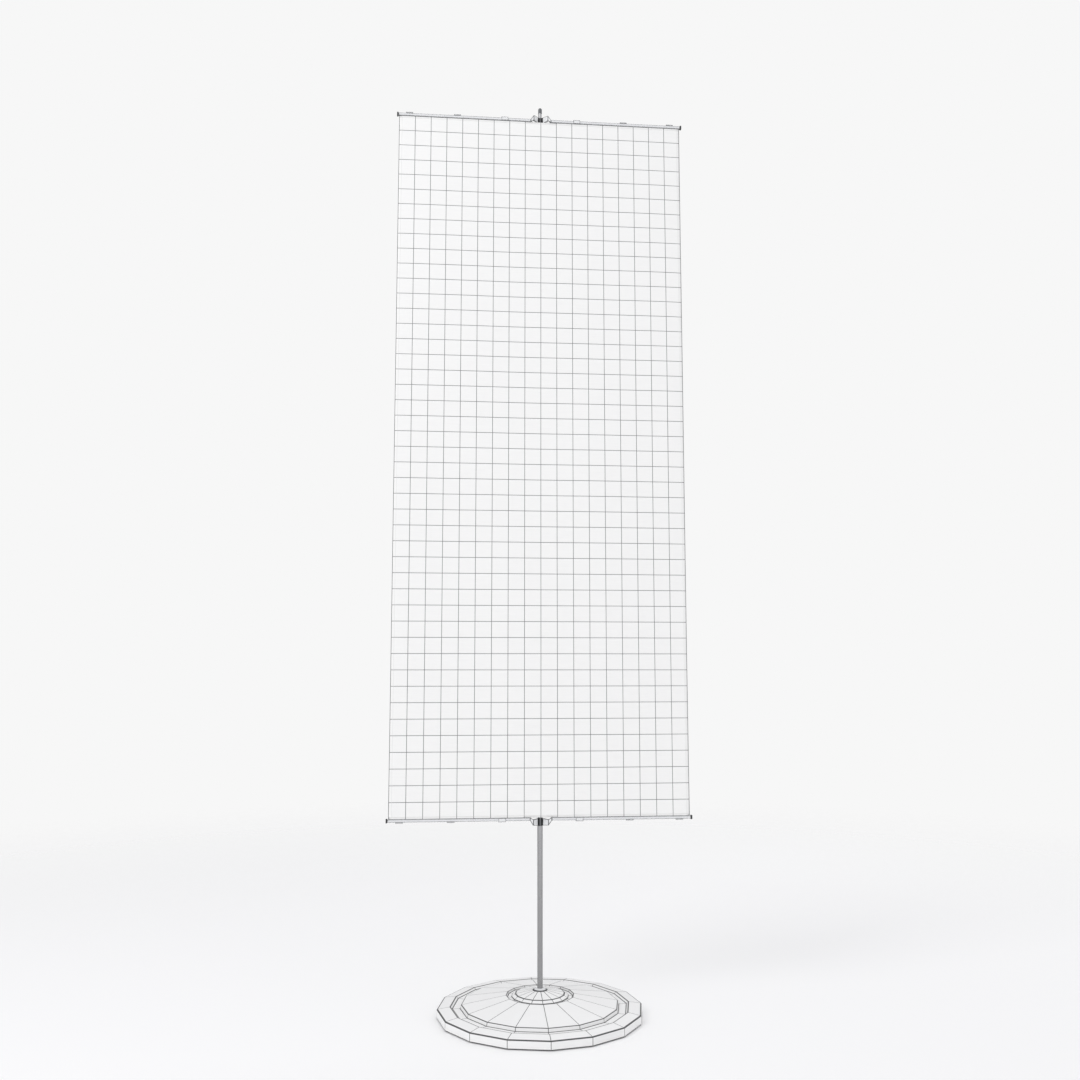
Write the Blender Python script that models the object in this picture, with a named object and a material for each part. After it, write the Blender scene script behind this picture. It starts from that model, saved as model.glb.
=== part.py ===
"""Banner stand: a cloth banner held between two rails on a telescopic pole, on a weighted sixteen-sided base.

Metres, +Z up, the banner's face towards -Y. The origin is on the floor, on the pole's axis.
Each sub-part is one object, hung from an empty on the axis that it turns or slides on.
"""

from math import cos, hypot, pi, radians, sin

import bmesh
import bpy
from mathutils import Matrix

# Fits, used by every piece that seats on, in or around another
SEAT_GAP = 0.0003  # faces that rest on each other, and screws in their holes
PRESS_GAP = 0.00015  # bushes and plugs pushed into a tube
TURN_GAP = 0.001  # the turning pole in the still base
SLIDE_GAP = 0.00025  # the mast in the pole's guide, the lock in the pole

# Round work
ROUND_SIDES = 32
SMALL_SIDES = 24
COVER_SIDES = 16  # flat sides of the cover, its hub and the plate under them
DISC_SIDES = 64
SMOOTH_ANGLE = radians(20)
MERGE = 2e-6
CUT_THROUGH = 2  # how many times the depth of its cut a cutter is long

# Base: floor plate, feet, ballast
BASE_RADIUS = 0.2814
FOOT_HEIGHT = 0.004
FOOT_RADIUS = 0.016
FOOT_EDGE = 0.001
FOOT_STEM_RADIUS = 0.004
FOOT_BARB_OVERHANG = 0.0012
FOOT_BARB_HEIGHT = 0.0018
FOOT_COUNT = 6
FOOT_INSET = 0.030
PLATE_THICKNESS = 0.003
PLATE_CLEARANCE = 0.001
BALLAST_THICKNESS = 0.016
BALLAST_EDGE = 0.002
BALLAST_CLEARANCE = 0.0207

# Base cover, from the outside in
COVER_WALL = 0.0025
SKIRT_BOTTOM = 0.0025
SIDE_TOP = 0.0244
EDGE_CHAMFER = 0.0012
RIM_WIDTH = 0.0372
RIM_TOP = 0.0298
GROOVE_WALL = 0.0047
GROOVE_WIDTH = 0.0222
GROOVE_FLOOR = 0.0243
DOME_STEP = 0.0016
DOME_EDGE = 0.0341
DOME_TOP = 0.0557
RECESS_RADIUS = 0.0917
RECESS_DRAFT = 0.0012
RECESS_FLOOR = 0.0500
COVER_SCREWS = 3
COVER_SCREW_START = radians(30)
SCREW_RADIUS = 0.002
SCREW_LENGTH = 0.012
SCREW_HEAD_RADIUS = 0.004
SCREW_HEAD_HEIGHT = 0.0016
BOSS_RADIUS = 0.006
BOSS_ROOT = 0.001  # how far a boss reaches into the wall above it

# Hub in the middle of the cover
HUB_RADIUS = 0.0789
HUB_LIP = 0.002
HUB_TOP_RADIUS = 0.0680
HUB_SHOULDER = 0.0590
HUB_PEAK = 0.0678
HUB_WALL = 0.003
COLLAR_RADIUS = 0.0204
COLLAR_PEAK = 0.0726
COLLAR_DEPTH = 0.0028
COLLAR_GAP = 0.0006

# Spindle that the pole turns on
SPINDLE_RADIUS = 0.004
SPINDLE_LENGTH = 0.160
SPINDLE_TIP = 0.0008
FLANGE_RADIUS = 0.022
FLANGE_THICKNESS = 0.008
BOLT_RADIUS = 0.005
BOLT_HEAD_RADIUS = 0.010
BOLT_HEAD_HEIGHT = 0.003
BOLT_REACH = 0.006
THRUST_RADIUS = 0.009
THRUST_THICKNESS = 0.0015
BUSH_LENGTH = 0.020
BUSH_INSET = 0.003

# Lower pole
POLE_RADIUS = 0.0075
POLE_WALL = 0.0012
POLE_LENGTH = 0.4727
GUIDE_LENGTH = 0.024
GUIDE_WALL = 0.00065

# Mast and its twist lock
MAST_WALL = 0.001
MAST_CLEARANCE = 0.0141  # from the spindle's tip to the lock's stud
MAST_RISE = 0.0404  # above the banner's top edge
PLUG_LENGTH = 0.020
PLUG_FLANGE = 0.002
STUD_RADIUS = 0.002
STUD_LENGTH = 0.027
LOCK_LENGTH = 0.025
LOCK_BORE_TOP = 0.0033
LOCK_TAPER = 0.0008
LOCK_SLIT = 0.0012
CONE_END = 0.001
CAP_HEIGHT = 0.0178
CAP_OVERHANG = 0.00035
CAP_PLUG = 0.012
CAP_STEPS = 5

# Banner
BANNER_WIDTH = 0.838
BANNER_HEIGHT = 2.027
BANNER_THICKNESS = 0.0008
BANNER_SETBACK = 0.026  # from the pole's axis to the cloth
EDGE_GAP = 0.0005
BEAD_CLEARANCE = 0.0004
BEAD_SIDES = 12

# Rails, in the banner's plane
RAIL_HEIGHT = 0.008
RAIL_DEPTH = 0.006
RAIL_WALL = 0.001
SLOT_CLEARANCE = 0.0005
RAIL_CORNER = 0.0006
RAIL_OVERHANG = 0.0022
CAP_FLANGE = 0.004
CAP_RIM = 0.00175
CAP_STEM = 0.008
CAP_CORNER = 0.002
CAP_CORNER_STEPS = 4

# Clips on the rails
CLIP_WIDTH = 0.020
CLIP_WALL = 0.0012
CLIP_CROWN = 0.0022
CLIP_LIP = 0.0012
CLIP_HOOK = 0.0008
CLIP_FIRST = 0.1075
CLIP_EDGE_INSET = 0.030
CLIPS_PER_HALF = 3

# Brackets that carry the rails on the mast
SLEEVE_OFFSET = 0.004  # from the banner's edge to the sleeve
SLEEVE_HEIGHT = 0.021
SLEEVE_WALL = 0.00175
ARM_FRONT_TURN = radians(30)  # round the sleeve from its front
ARM_BACK_TURN = radians(75)
ARM_INSET = 0.0005
RIDGE_X = 0.0205
RIDGE_BACK_X = 0.0232
RIDGE_LOW = 0.005
RIDGE_HIGH = 0.021
EAR_X = 0.030
SPIGOT_LENGTH = 0.0155
SPIGOT_ROOT = 0.003

# Clamp knobs on the back of the brackets
KNOB_BOSS_RADIUS = 0.0055
KNOB_BOSS_LENGTH = 0.0052
CLAMP_SCREW_RADIUS = 0.002
KNOB_RADIUS = 0.009
KNOB_LENGTH = 0.010
KNOB_LOBES = 6
KNOB_LOBE_DEPTH = 0.0009
KNOB_SIDES = 36
KNOB_SOCKET = 0.006
KNOB_BEVEL = 0.0012
KNOB_GAP = 0.0005

# Heights that follow
PLATE_TOP = FOOT_HEIGHT + PLATE_THICKNESS
BALLAST_BOTTOM = PLATE_TOP + SEAT_GAP
BALLAST_TOP = BALLAST_BOTTOM + BALLAST_THICKNESS
FLANGE_BOTTOM = BALLAST_TOP + SEAT_GAP
FLANGE_TOP = FLANGE_BOTTOM + FLANGE_THICKNESS
SPINDLE_TOP = FLANGE_TOP + SPINDLE_LENGTH
THRUST_BOTTOM = FLANGE_TOP + SEAT_GAP
POLE_BOTTOM = THRUST_BOTTOM + THRUST_THICKNESS + SEAT_GAP
POLE_TOP = POLE_BOTTOM + POLE_LENGTH
MAST_BOTTOM = SPINDLE_TOP + MAST_CLEARANCE + STUD_LENGTH + PLUG_FLANGE + SEAT_GAP
BANNER_BOTTOM = POLE_TOP + SEAT_GAP + SLEEVE_HEIGHT + SLEEVE_OFFSET
BANNER_TOP = BANNER_BOTTOM + BANNER_HEIGHT
MAST_TOP = BANNER_TOP + MAST_RISE

# Radii and places that follow
PLATE_RADIUS = BASE_RADIUS - COVER_WALL - PLATE_CLEARANCE
FOOT_CIRCLE = PLATE_RADIUS - FOOT_INSET
RIM_INNER = BASE_RADIUS - RIM_WIDTH
GROOVE_OUTER = RIM_INNER - GROOVE_WALL
GROOVE_INNER = GROOVE_OUTER - GROOVE_WIDTH
DOME_RADIUS = GROOVE_INNER - DOME_STEP
SCREW_CIRCLE = (GROOVE_OUTER + GROOVE_INNER) / 2
BALLAST_RADIUS = DOME_RADIUS - BALLAST_CLEARANCE
POLE_BORE = POLE_RADIUS - POLE_WALL
POLE_HOLE = POLE_RADIUS + TURN_GAP
MAST_RADIUS = POLE_BORE - PRESS_GAP - GUIDE_WALL - SLIDE_GAP
MAST_BORE = MAST_RADIUS - MAST_WALL
PLUG_RADIUS = MAST_BORE - PRESS_GAP
SLEEVE_BORE = MAST_RADIUS + SEAT_GAP
SLEEVE_RADIUS = SLEEVE_BORE + SLEEVE_WALL
ARM_ROOT = SLEEVE_RADIUS - SLEEVE_WALL / 2
KNOB_BOSS_END = SLEEVE_RADIUS + KNOB_BOSS_LENGTH
BEAD_RADIUS = RAIL_DEPTH / 2 - RAIL_WALL - BEAD_CLEARANCE
RAIL_SLOT = BANNER_THICKNESS + 2 * SLOT_CLEARANCE
BANNER_Y = -BANNER_SETBACK
RAIL_FRONT_Y = BANNER_Y - RAIL_DEPTH / 2
RAIL_BACK_Y = BANNER_Y + RAIL_DEPTH / 2
RAIL_START = EAR_X + SEAT_GAP
RAIL_END = BANNER_WIDTH / 2 + RAIL_OVERHANG
BEAD_START = EAR_X + SPIGOT_LENGTH + EDGE_GAP
BEAD_END = RAIL_END - CAP_STEM - EDGE_GAP
RAIL_MIDDLE = RAIL_HEIGHT / 2
KNOB_OFFSET = SLEEVE_OFFSET + SLEEVE_HEIGHT / 2
CLIP_PITCH = (BANNER_WIDTH / 2 - CLIP_EDGE_INSET - CLIP_FIRST) / (CLIPS_PER_HALF - 1)

ALONG_X = (pi / 2, 0, pi / 2)  # a piece's own X, Y, Z laid along world Y, Z, X
FACING_BACK = (-pi / 2, 0, 0)  # a piece's own Z laid along world +Y

for old in list(bpy.data.objects):
    bpy.data.objects.remove(old)


def finish(name, colour, roughness, metallic=0.0):
    """A Principled material of one colour, given as sRGB parts of 1."""
    made = bpy.data.materials.new(name)
    made.use_nodes = True
    shader = made.node_tree.nodes["Principled BSDF"]
    shader.inputs["Base Color"].default_value = (*(part**2.2 for part in colour), 1)
    shader.inputs["Roughness"].default_value = roughness
    shader.inputs["Metallic"].default_value = metallic
    return made


WHITE_SHELL = finish("white_moulded_shell", (0.90, 0.90, 0.89), 0.4)
STEEL = finish("zinc_plated_steel", (0.72, 0.73, 0.74), 0.35, 1)
IRON = finish("cast_iron", (0.25, 0.25, 0.26), 0.7, 0.6)
RUBBER = finish("black_rubber", (0.07, 0.07, 0.07), 0.8)
POLE_METAL = finish("satin_anodised_pole", (0.62, 0.63, 0.65), 0.35, 1)
RAIL_METAL = finish("grey_powder_coated_rail", (0.78, 0.79, 0.80), 0.35)
DARK_PLASTIC = finish("dark_nylon", (0.10, 0.10, 0.11), 0.5)
LIGHT_PLASTIC = finish("pale_grey_nylon", (0.82, 0.83, 0.84), 0.5)
CLOTH = finish("white_polyester_cloth", (0.95, 0.95, 0.95), 0.8)


def axis_empty(name, parent=None, location=(0, 0, 0), rotation=(0, 0, 0)):
    """An empty that stands for a body's axis."""
    empty = bpy.data.objects.new(name, None)
    empty.parent = parent
    empty.location = location
    empty.rotation_euler = rotation
    bpy.context.collection.objects.link(empty)
    return empty


def to_object(name, bm, material, parent, location=(0, 0, 0), rotation=(0, 0, 0)):
    """The mesh as a named, smooth-shaded object, closed and facing out."""
    bmesh.ops.remove_doubles(bm, verts=bm.verts, dist=MERGE)
    bmesh.ops.recalc_face_normals(bm, faces=bm.faces)
    mesh = bpy.data.meshes.new(name)
    bm.to_mesh(mesh)
    bm.free()
    mesh.materials.append(material)
    mesh.shade_smooth()
    mesh.set_sharp_from_angle(angle=SMOOTH_ANGLE)
    made = bpy.data.objects.new(name, mesh)
    made.parent = parent
    made.location = location
    made.rotation_euler = rotation
    bpy.context.collection.objects.link(made)
    return made


def turned(name, outline, material, parent, sides=ROUND_SIDES, **place):
    """A lathe-turned piece. An outline of (radius, height) that starts on the axis also ends on it."""
    bm = bmesh.new()
    points = [bm.verts.new((radius, 0, height)) for radius, height in outline]
    edges = [bm.edges.new(pair) for pair in zip(points, points[1:])]
    if outline[0][0] > 0:
        edges.append(bm.edges.new((points[-1], points[0])))
    bmesh.ops.spin(
        bm, geom=points + edges, cent=(0, 0, 0), axis=(0, 0, 1), angle=2 * pi, steps=sides, use_merge=True
    )
    return to_object(name, bm, material, parent, **place)


def extruded(name, outline, length, material, parent, **place):
    """A flat outline in the piece's own XY, pulled along its own Z."""
    bm = bmesh.new()
    face = bm.faces.new([bm.verts.new((across, up, 0)) for across, up in outline])
    pulled = bmesh.ops.extrude_face_region(bm, geom=[face])["geom"]
    moved = [part for part in pulled if isinstance(part, bmesh.types.BMVert)]
    bmesh.ops.translate(bm, verts=moved, vec=(0, 0, length))
    return to_object(name, bm, material, parent, **place)


def lofted(name, sections, material, parent, **place):
    """A solid through four-cornered sections, closed by its first and last."""
    bm = bmesh.new()
    rings = [[bm.verts.new(corner) for corner in section] for section in sections]
    for ring, following in zip(rings, rings[1:]):
        for side in range(4):
            bm.faces.new((ring[side], ring[side - 1], following[side - 1], following[side]))
    bm.faces.new(rings[0])
    bm.faces.new(rings[-1])
    return to_object(name, bm, material, parent, **place)


def tube(outer, inner, low, high):
    """The outline of a plain tube or washer."""
    return [(inner, low), (outer, low), (outer, high), (inner, high)]


def rod(radius, low, high):
    """The outline of a plain rod."""
    return [(0, low), (radius, low), (radius, high), (0, high)]


def rounded(corners, radius, steps=2):
    """An outline with each corner turned into a short arc."""
    outline = []
    for index, (x, y) in enumerate(corners):
        before = corners[index - 1]
        after = corners[(index + 1) % len(corners)]
        ends = []
        for px, py in (before, after):
            reach = radius / hypot(px - x, py - y)
            ends.append((x + (px - x) * reach, y + (py - y) * reach))
        for step in range(steps + 1):
            t = step / steps
            weights = ((1 - t) ** 2, 2 * t * (1 - t), t**2)
            shape = (ends[0], (x, y), ends[1])
            outline.append(tuple(sum(w * p[axis] for w, p in zip(weights, shape)) for axis in (0, 1)))
    return outline


def cutter(name, shapes, parent=None, sides=SMALL_SIDES):
    """A guide mesh of several cylinders, each (radius, length, matrix of its middle), for a Boolean."""
    bm = bmesh.new()
    for radius, length, matrix in shapes:
        bmesh.ops.create_cone(
            bm, cap_ends=True, segments=sides, radius1=radius, radius2=radius, depth=length, matrix=matrix
        )
    return hidden(to_object(name, bm, STEEL, parent))


def hidden(guide):
    """The object as a guide only, which is no part of the stand."""
    guide.hide_render = True
    guide.display_type = "WIRE"
    return guide


def combine(target, other, operation):
    """A Boolean between the target and a guide."""
    step = target.modifiers.new(operation.lower(), "BOOLEAN")
    step.operation = operation
    step.solver = "EXACT"
    step.object = other


def around(radius, count, start, height):
    """Matrices of places on a circle, standing upright."""
    turns = [start + 2 * pi * index / count for index in range(count)]
    return [Matrix.Translation((radius * cos(turn), radius * sin(turn), height)) for turn in turns]


def make_floor_plate(base):
    """Steel disc under everything, drilled for its bolt, feet and cover screws."""
    outline = tube(PLATE_RADIUS, BOLT_RADIUS + SEAT_GAP, FOOT_HEIGHT, PLATE_TOP)
    plate = turned("floor_plate", outline, STEEL, base, sides=COVER_SIDES)
    middle = (FOOT_HEIGHT + PLATE_TOP) / 2
    depth = PLATE_THICKNESS * CUT_THROUGH
    drills = [
        (FOOT_STEM_RADIUS + SEAT_GAP, depth, spot) for spot in around(FOOT_CIRCLE, FOOT_COUNT, 0, middle)
    ]
    drills += [
        (SCREW_RADIUS + SEAT_GAP, depth, spot)
        for spot in around(SCREW_CIRCLE, COVER_SCREWS, COVER_SCREW_START, middle)
    ]
    combine(plate, cutter("plate_drill", drills), "DIFFERENCE")


def make_feet(base):
    """Push-in rubber feet: a pad, a stem through the plate and a barb above it."""
    pad_top = FOOT_HEIGHT - SEAT_GAP
    barb_bottom = PLATE_TOP + SEAT_GAP
    barb_top = barb_bottom + FOOT_BARB_HEIGHT
    barb = FOOT_STEM_RADIUS + FOOT_BARB_OVERHANG
    outline = [
        (0, 0),
        (FOOT_RADIUS - FOOT_EDGE, 0),
        (FOOT_RADIUS, FOOT_EDGE),
        (FOOT_RADIUS, pad_top),
        (FOOT_STEM_RADIUS, pad_top),
        (FOOT_STEM_RADIUS, barb_bottom),
        (barb, barb_bottom),
        (FOOT_STEM_RADIUS, barb_top),
        (0, barb_top),
    ]
    for index, spot in enumerate(around(FOOT_CIRCLE, FOOT_COUNT, 0, 0)):
        name = f"rubber_foot_{index + 1}"
        turned(name, outline, RUBBER, base, sides=SMALL_SIDES, location=spot.translation)


def make_ballast(base):
    """Cast iron disc that keeps the stand upright."""
    bore = BOLT_RADIUS + SEAT_GAP
    outline = [
        (bore, BALLAST_BOTTOM),
        (BALLAST_RADIUS, BALLAST_BOTTOM),
        (BALLAST_RADIUS, BALLAST_TOP - BALLAST_EDGE),
        (BALLAST_RADIUS - BALLAST_EDGE, BALLAST_TOP),
        (bore, BALLAST_TOP),
    ]
    turned("ballast_disc", outline, IRON, base, sides=DISC_SIDES)


def cover_outline():
    """The cover's section: side, sloping rim, groove, shallow dome and recess, then back along its inside."""
    slope = (DOME_TOP - DOME_EDGE) / (DOME_RADIUS - RECESS_RADIUS)
    recess_foot = RECESS_RADIUS - RECESS_DRAFT
    under_recess = RECESS_RADIUS + COVER_WALL
    outside = [
        (BASE_RADIUS, SKIRT_BOTTOM),
        (BASE_RADIUS, SIDE_TOP - EDGE_CHAMFER),
        (BASE_RADIUS - EDGE_CHAMFER, SIDE_TOP),
        (RIM_INNER, RIM_TOP),
        (GROOVE_OUTER, GROOVE_FLOOR),
        (GROOVE_INNER, GROOVE_FLOOR),
        (DOME_RADIUS, DOME_EDGE),
        (RECESS_RADIUS, DOME_TOP),
        (recess_foot, RECESS_FLOOR),
        (POLE_HOLE, RECESS_FLOOR),
    ]
    inside = [
        (POLE_HOLE, RECESS_FLOOR - COVER_WALL),
        (under_recess, RECESS_FLOOR - COVER_WALL),
        (under_recess, DOME_TOP - slope * COVER_WALL - COVER_WALL),
        (DOME_RADIUS - COVER_WALL, DOME_EDGE - COVER_WALL),
        (GROOVE_INNER - COVER_WALL, GROOVE_FLOOR - COVER_WALL),
        (GROOVE_OUTER + COVER_WALL / 2, GROOVE_FLOOR - COVER_WALL),
        (RIM_INNER + COVER_WALL / 2, RIM_TOP - COVER_WALL),
        (BASE_RADIUS - COVER_WALL, SIDE_TOP - COVER_WALL),
        (BASE_RADIUS - COVER_WALL, SKIRT_BOTTOM),
    ]
    return outside + inside


def make_cover(base):
    """Moulded cover, with a blind boss over each of its screws."""
    cover = turned("base_cover", cover_outline(), WHITE_SHELL, base, sides=COVER_SIDES)
    low = PLATE_TOP + SEAT_GAP
    high = GROOVE_FLOOR - COVER_WALL + BOSS_ROOT
    middles = around(SCREW_CIRCLE, COVER_SCREWS, COVER_SCREW_START, (low + high) / 2)
    bosses = cutter("cover_bosses", [(BOSS_RADIUS, high - low, spot) for spot in middles])
    combine(cover, bosses, "UNION")
    depth = screw_top() + SEAT_GAP - low
    starts = around(SCREW_CIRCLE, COVER_SCREWS, COVER_SCREW_START, low)
    drills = [(SCREW_RADIUS + SEAT_GAP, depth * CUT_THROUGH, spot) for spot in starts]
    combine(cover, cutter("boss_drill", drills), "DIFFERENCE")


def screw_top():
    """How high a cover screw reaches."""
    return FOOT_HEIGHT - SEAT_GAP + SCREW_LENGTH


def make_cover_screws(base):
    """Screws from below, through the plate and into the cover's bosses."""
    head_top = FOOT_HEIGHT - SEAT_GAP
    head_bottom = head_top - SCREW_HEAD_HEIGHT
    outline = [
        (0, head_bottom),
        (SCREW_HEAD_RADIUS, head_bottom),
        (SCREW_HEAD_RADIUS, head_top),
        (SCREW_RADIUS, head_top),
        (SCREW_RADIUS, screw_top()),
        (0, screw_top()),
    ]
    spots = around(SCREW_CIRCLE, COVER_SCREWS, COVER_SCREW_START, 0)
    for index, spot in enumerate(spots):
        name = f"cover_screw_{index + 1}"
        turned(name, outline, STEEL, base, sides=SMALL_SIDES, location=spot.translation)


def make_hub(base):
    """Conical cap in the cover's recess, hollow underneath, with a seat for the pole's collar."""
    foot = RECESS_FLOOR + SEAT_GAP
    seat_radius = COLLAR_RADIUS + COLLAR_GAP
    seat = HUB_PEAK - COLLAR_DEPTH - COLLAR_GAP
    slope = (HUB_PEAK - HUB_SHOULDER) / (HUB_TOP_RADIUS - COLLAR_RADIUS)
    peak = HUB_SHOULDER + slope * (HUB_TOP_RADIUS - seat_radius)
    outline = [
        (POLE_HOLE, foot),
        (POLE_HOLE + HUB_WALL, foot),
        (POLE_HOLE + HUB_WALL, seat - HUB_WALL),
        (seat_radius + HUB_WALL, seat - HUB_WALL),
        (HUB_TOP_RADIUS - HUB_WALL / 2, HUB_SHOULDER - HUB_WALL),
        (HUB_RADIUS - HUB_WALL, foot),
        (HUB_RADIUS, foot),
        (HUB_RADIUS, foot + HUB_LIP),
        (HUB_TOP_RADIUS, HUB_SHOULDER),
        (seat_radius, peak),
        (seat_radius, seat),
        (POLE_HOLE, seat),
    ]
    turned("hub_cap", outline, WHITE_SHELL, base, sides=COVER_SIDES)


def make_spindle(base):
    """Flanged steel post on the ballast, and the bolt that clamps plate, ballast and post together."""
    socket = BOLT_RADIUS + SEAT_GAP
    socket_top = FLANGE_BOTTOM + BOLT_REACH
    outline = [
        (0, socket_top),
        (socket, socket_top),
        (socket, FLANGE_BOTTOM),
        (FLANGE_RADIUS, FLANGE_BOTTOM),
        (FLANGE_RADIUS, FLANGE_TOP),
        (SPINDLE_RADIUS, FLANGE_TOP),
        (SPINDLE_RADIUS, SPINDLE_TOP - SPINDLE_TIP),
        (SPINDLE_RADIUS - SPINDLE_TIP, SPINDLE_TOP),
        (0, SPINDLE_TOP),
    ]
    turned("spindle", outline, STEEL, base)
    head_top = FOOT_HEIGHT - SEAT_GAP
    bolt = [
        (0, head_top - BOLT_HEAD_HEIGHT),
        (BOLT_HEAD_RADIUS, head_top - BOLT_HEAD_HEIGHT),
        (BOLT_HEAD_RADIUS, head_top),
        (BOLT_RADIUS, head_top),
        (BOLT_RADIUS, socket_top - SEAT_GAP),
        (0, socket_top - SEAT_GAP),
    ]
    turned("spindle_bolt", bolt, STEEL, base)


def make_lower_pole(pole):
    """Tube that turns on the spindle, with its bushes, thrust washer, collar and mast guide."""
    thrust = tube(THRUST_RADIUS, SPINDLE_RADIUS + SEAT_GAP, THRUST_BOTTOM, THRUST_BOTTOM + THRUST_THICKNESS)
    turned("thrust_washer", thrust, LIGHT_PLASTIC, pole)
    turned("lower_pole", tube(POLE_RADIUS, POLE_BORE, POLE_BOTTOM, POLE_TOP), POLE_METAL, pole)
    bush_starts = {
        "lower_bush": POLE_BOTTOM + SEAT_GAP,
        "upper_bush": SPINDLE_TOP - BUSH_INSET - BUSH_LENGTH,
    }
    for name, low in bush_starts.items():
        bush = tube(POLE_BORE - PRESS_GAP, SPINDLE_RADIUS + SEAT_GAP, low, low + BUSH_LENGTH)
        turned(name, bush, LIGHT_PLASTIC, pole)
    guide_top = POLE_TOP - SEAT_GAP
    guide = tube(POLE_BORE - PRESS_GAP, MAST_RADIUS + SLIDE_GAP, guide_top - GUIDE_LENGTH, guide_top)
    turned("mast_guide", guide, DARK_PLASTIC, pole)
    collar_bore = POLE_RADIUS + SEAT_GAP
    collar = [
        (collar_bore, HUB_PEAK - COLLAR_DEPTH),
        (COLLAR_RADIUS, HUB_PEAK - COLLAR_DEPTH),
        (COLLAR_RADIUS, HUB_PEAK),
        (collar_bore, COLLAR_PEAK),
    ]
    turned("pole_collar", collar, LIGHT_PLASTIC, pole)


def make_lock(lock):
    """Split sleeve that grips the pole's bore when the cone is drawn up inside it."""
    top = MAST_BOTTOM - SEAT_GAP - PLUG_FLANGE - SEAT_GAP
    bottom = top - LOCK_LENGTH
    outer = POLE_BORE - SLIDE_GAP
    sleeve = turned(
        "lock_sleeve",
        [(LOCK_BORE_TOP + LOCK_TAPER, bottom), (outer, bottom), (outer, top), (LOCK_BORE_TOP, top)],
        LIGHT_PLASTIC,
        lock,
    )
    slit = bmesh.new()
    bmesh.ops.create_cube(slit, size=1)
    slit_length = LOCK_LENGTH * CUT_THROUGH
    bmesh.ops.scale(slit, vec=(LOCK_SLIT, POLE_BORE, slit_length), verts=slit.verts)
    bmesh.ops.translate(slit, vec=(0, POLE_BORE / 2, (top + bottom) / 2), verts=slit.verts)
    combine(sleeve, hidden(to_object("lock_slit", slit, STEEL, None)), "DIFFERENCE")
    bore = STUD_RADIUS + SEAT_GAP
    taper = LOCK_TAPER * (LOCK_LENGTH - 2 * CONE_END) / LOCK_LENGTH
    cone_top = LOCK_BORE_TOP - SEAT_GAP
    low = bottom + CONE_END
    high = top - CONE_END
    turned("lock_cone", [(bore, low), (cone_top + taper, low), (cone_top, high), (bore, high)], STEEL, lock)


def make_mast(mast):
    """Upper tube, the plug and stud that work the lock, and the domed cap."""
    turned("mast_tube", tube(MAST_RADIUS, MAST_BORE, MAST_BOTTOM, MAST_TOP), POLE_METAL, mast)
    seat = MAST_BOTTOM - SEAT_GAP
    stud_top = seat - PLUG_FLANGE
    plug = [
        (0, stud_top - STUD_LENGTH),
        (STUD_RADIUS, stud_top - STUD_LENGTH),
        (STUD_RADIUS, stud_top),
        (MAST_RADIUS, stud_top),
        (MAST_RADIUS, seat),
        (PLUG_RADIUS, seat),
        (PLUG_RADIUS, seat + PLUG_LENGTH),
        (0, seat + PLUG_LENGTH),
    ]
    turned("mast_plug", plug, STEEL, mast)
    rim = MAST_TOP + SEAT_GAP
    radius = MAST_RADIUS + CAP_OVERHANG
    shoulder = MAST_TOP + CAP_HEIGHT - radius
    turns = [pi / 2 * step / CAP_STEPS for step in range(CAP_STEPS + 1)]
    dome = [(radius * cos(turn), shoulder + radius * sin(turn)) for turn in turns[:-1]]
    cap = [(0, MAST_TOP - CAP_PLUG), (PLUG_RADIUS, MAST_TOP - CAP_PLUG), (PLUG_RADIUS, rim), (radius, rim)]
    turned("mast_cap", cap + dome + [(0, MAST_TOP + CAP_HEIGHT)], DARK_PLASTIC, mast)


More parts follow.
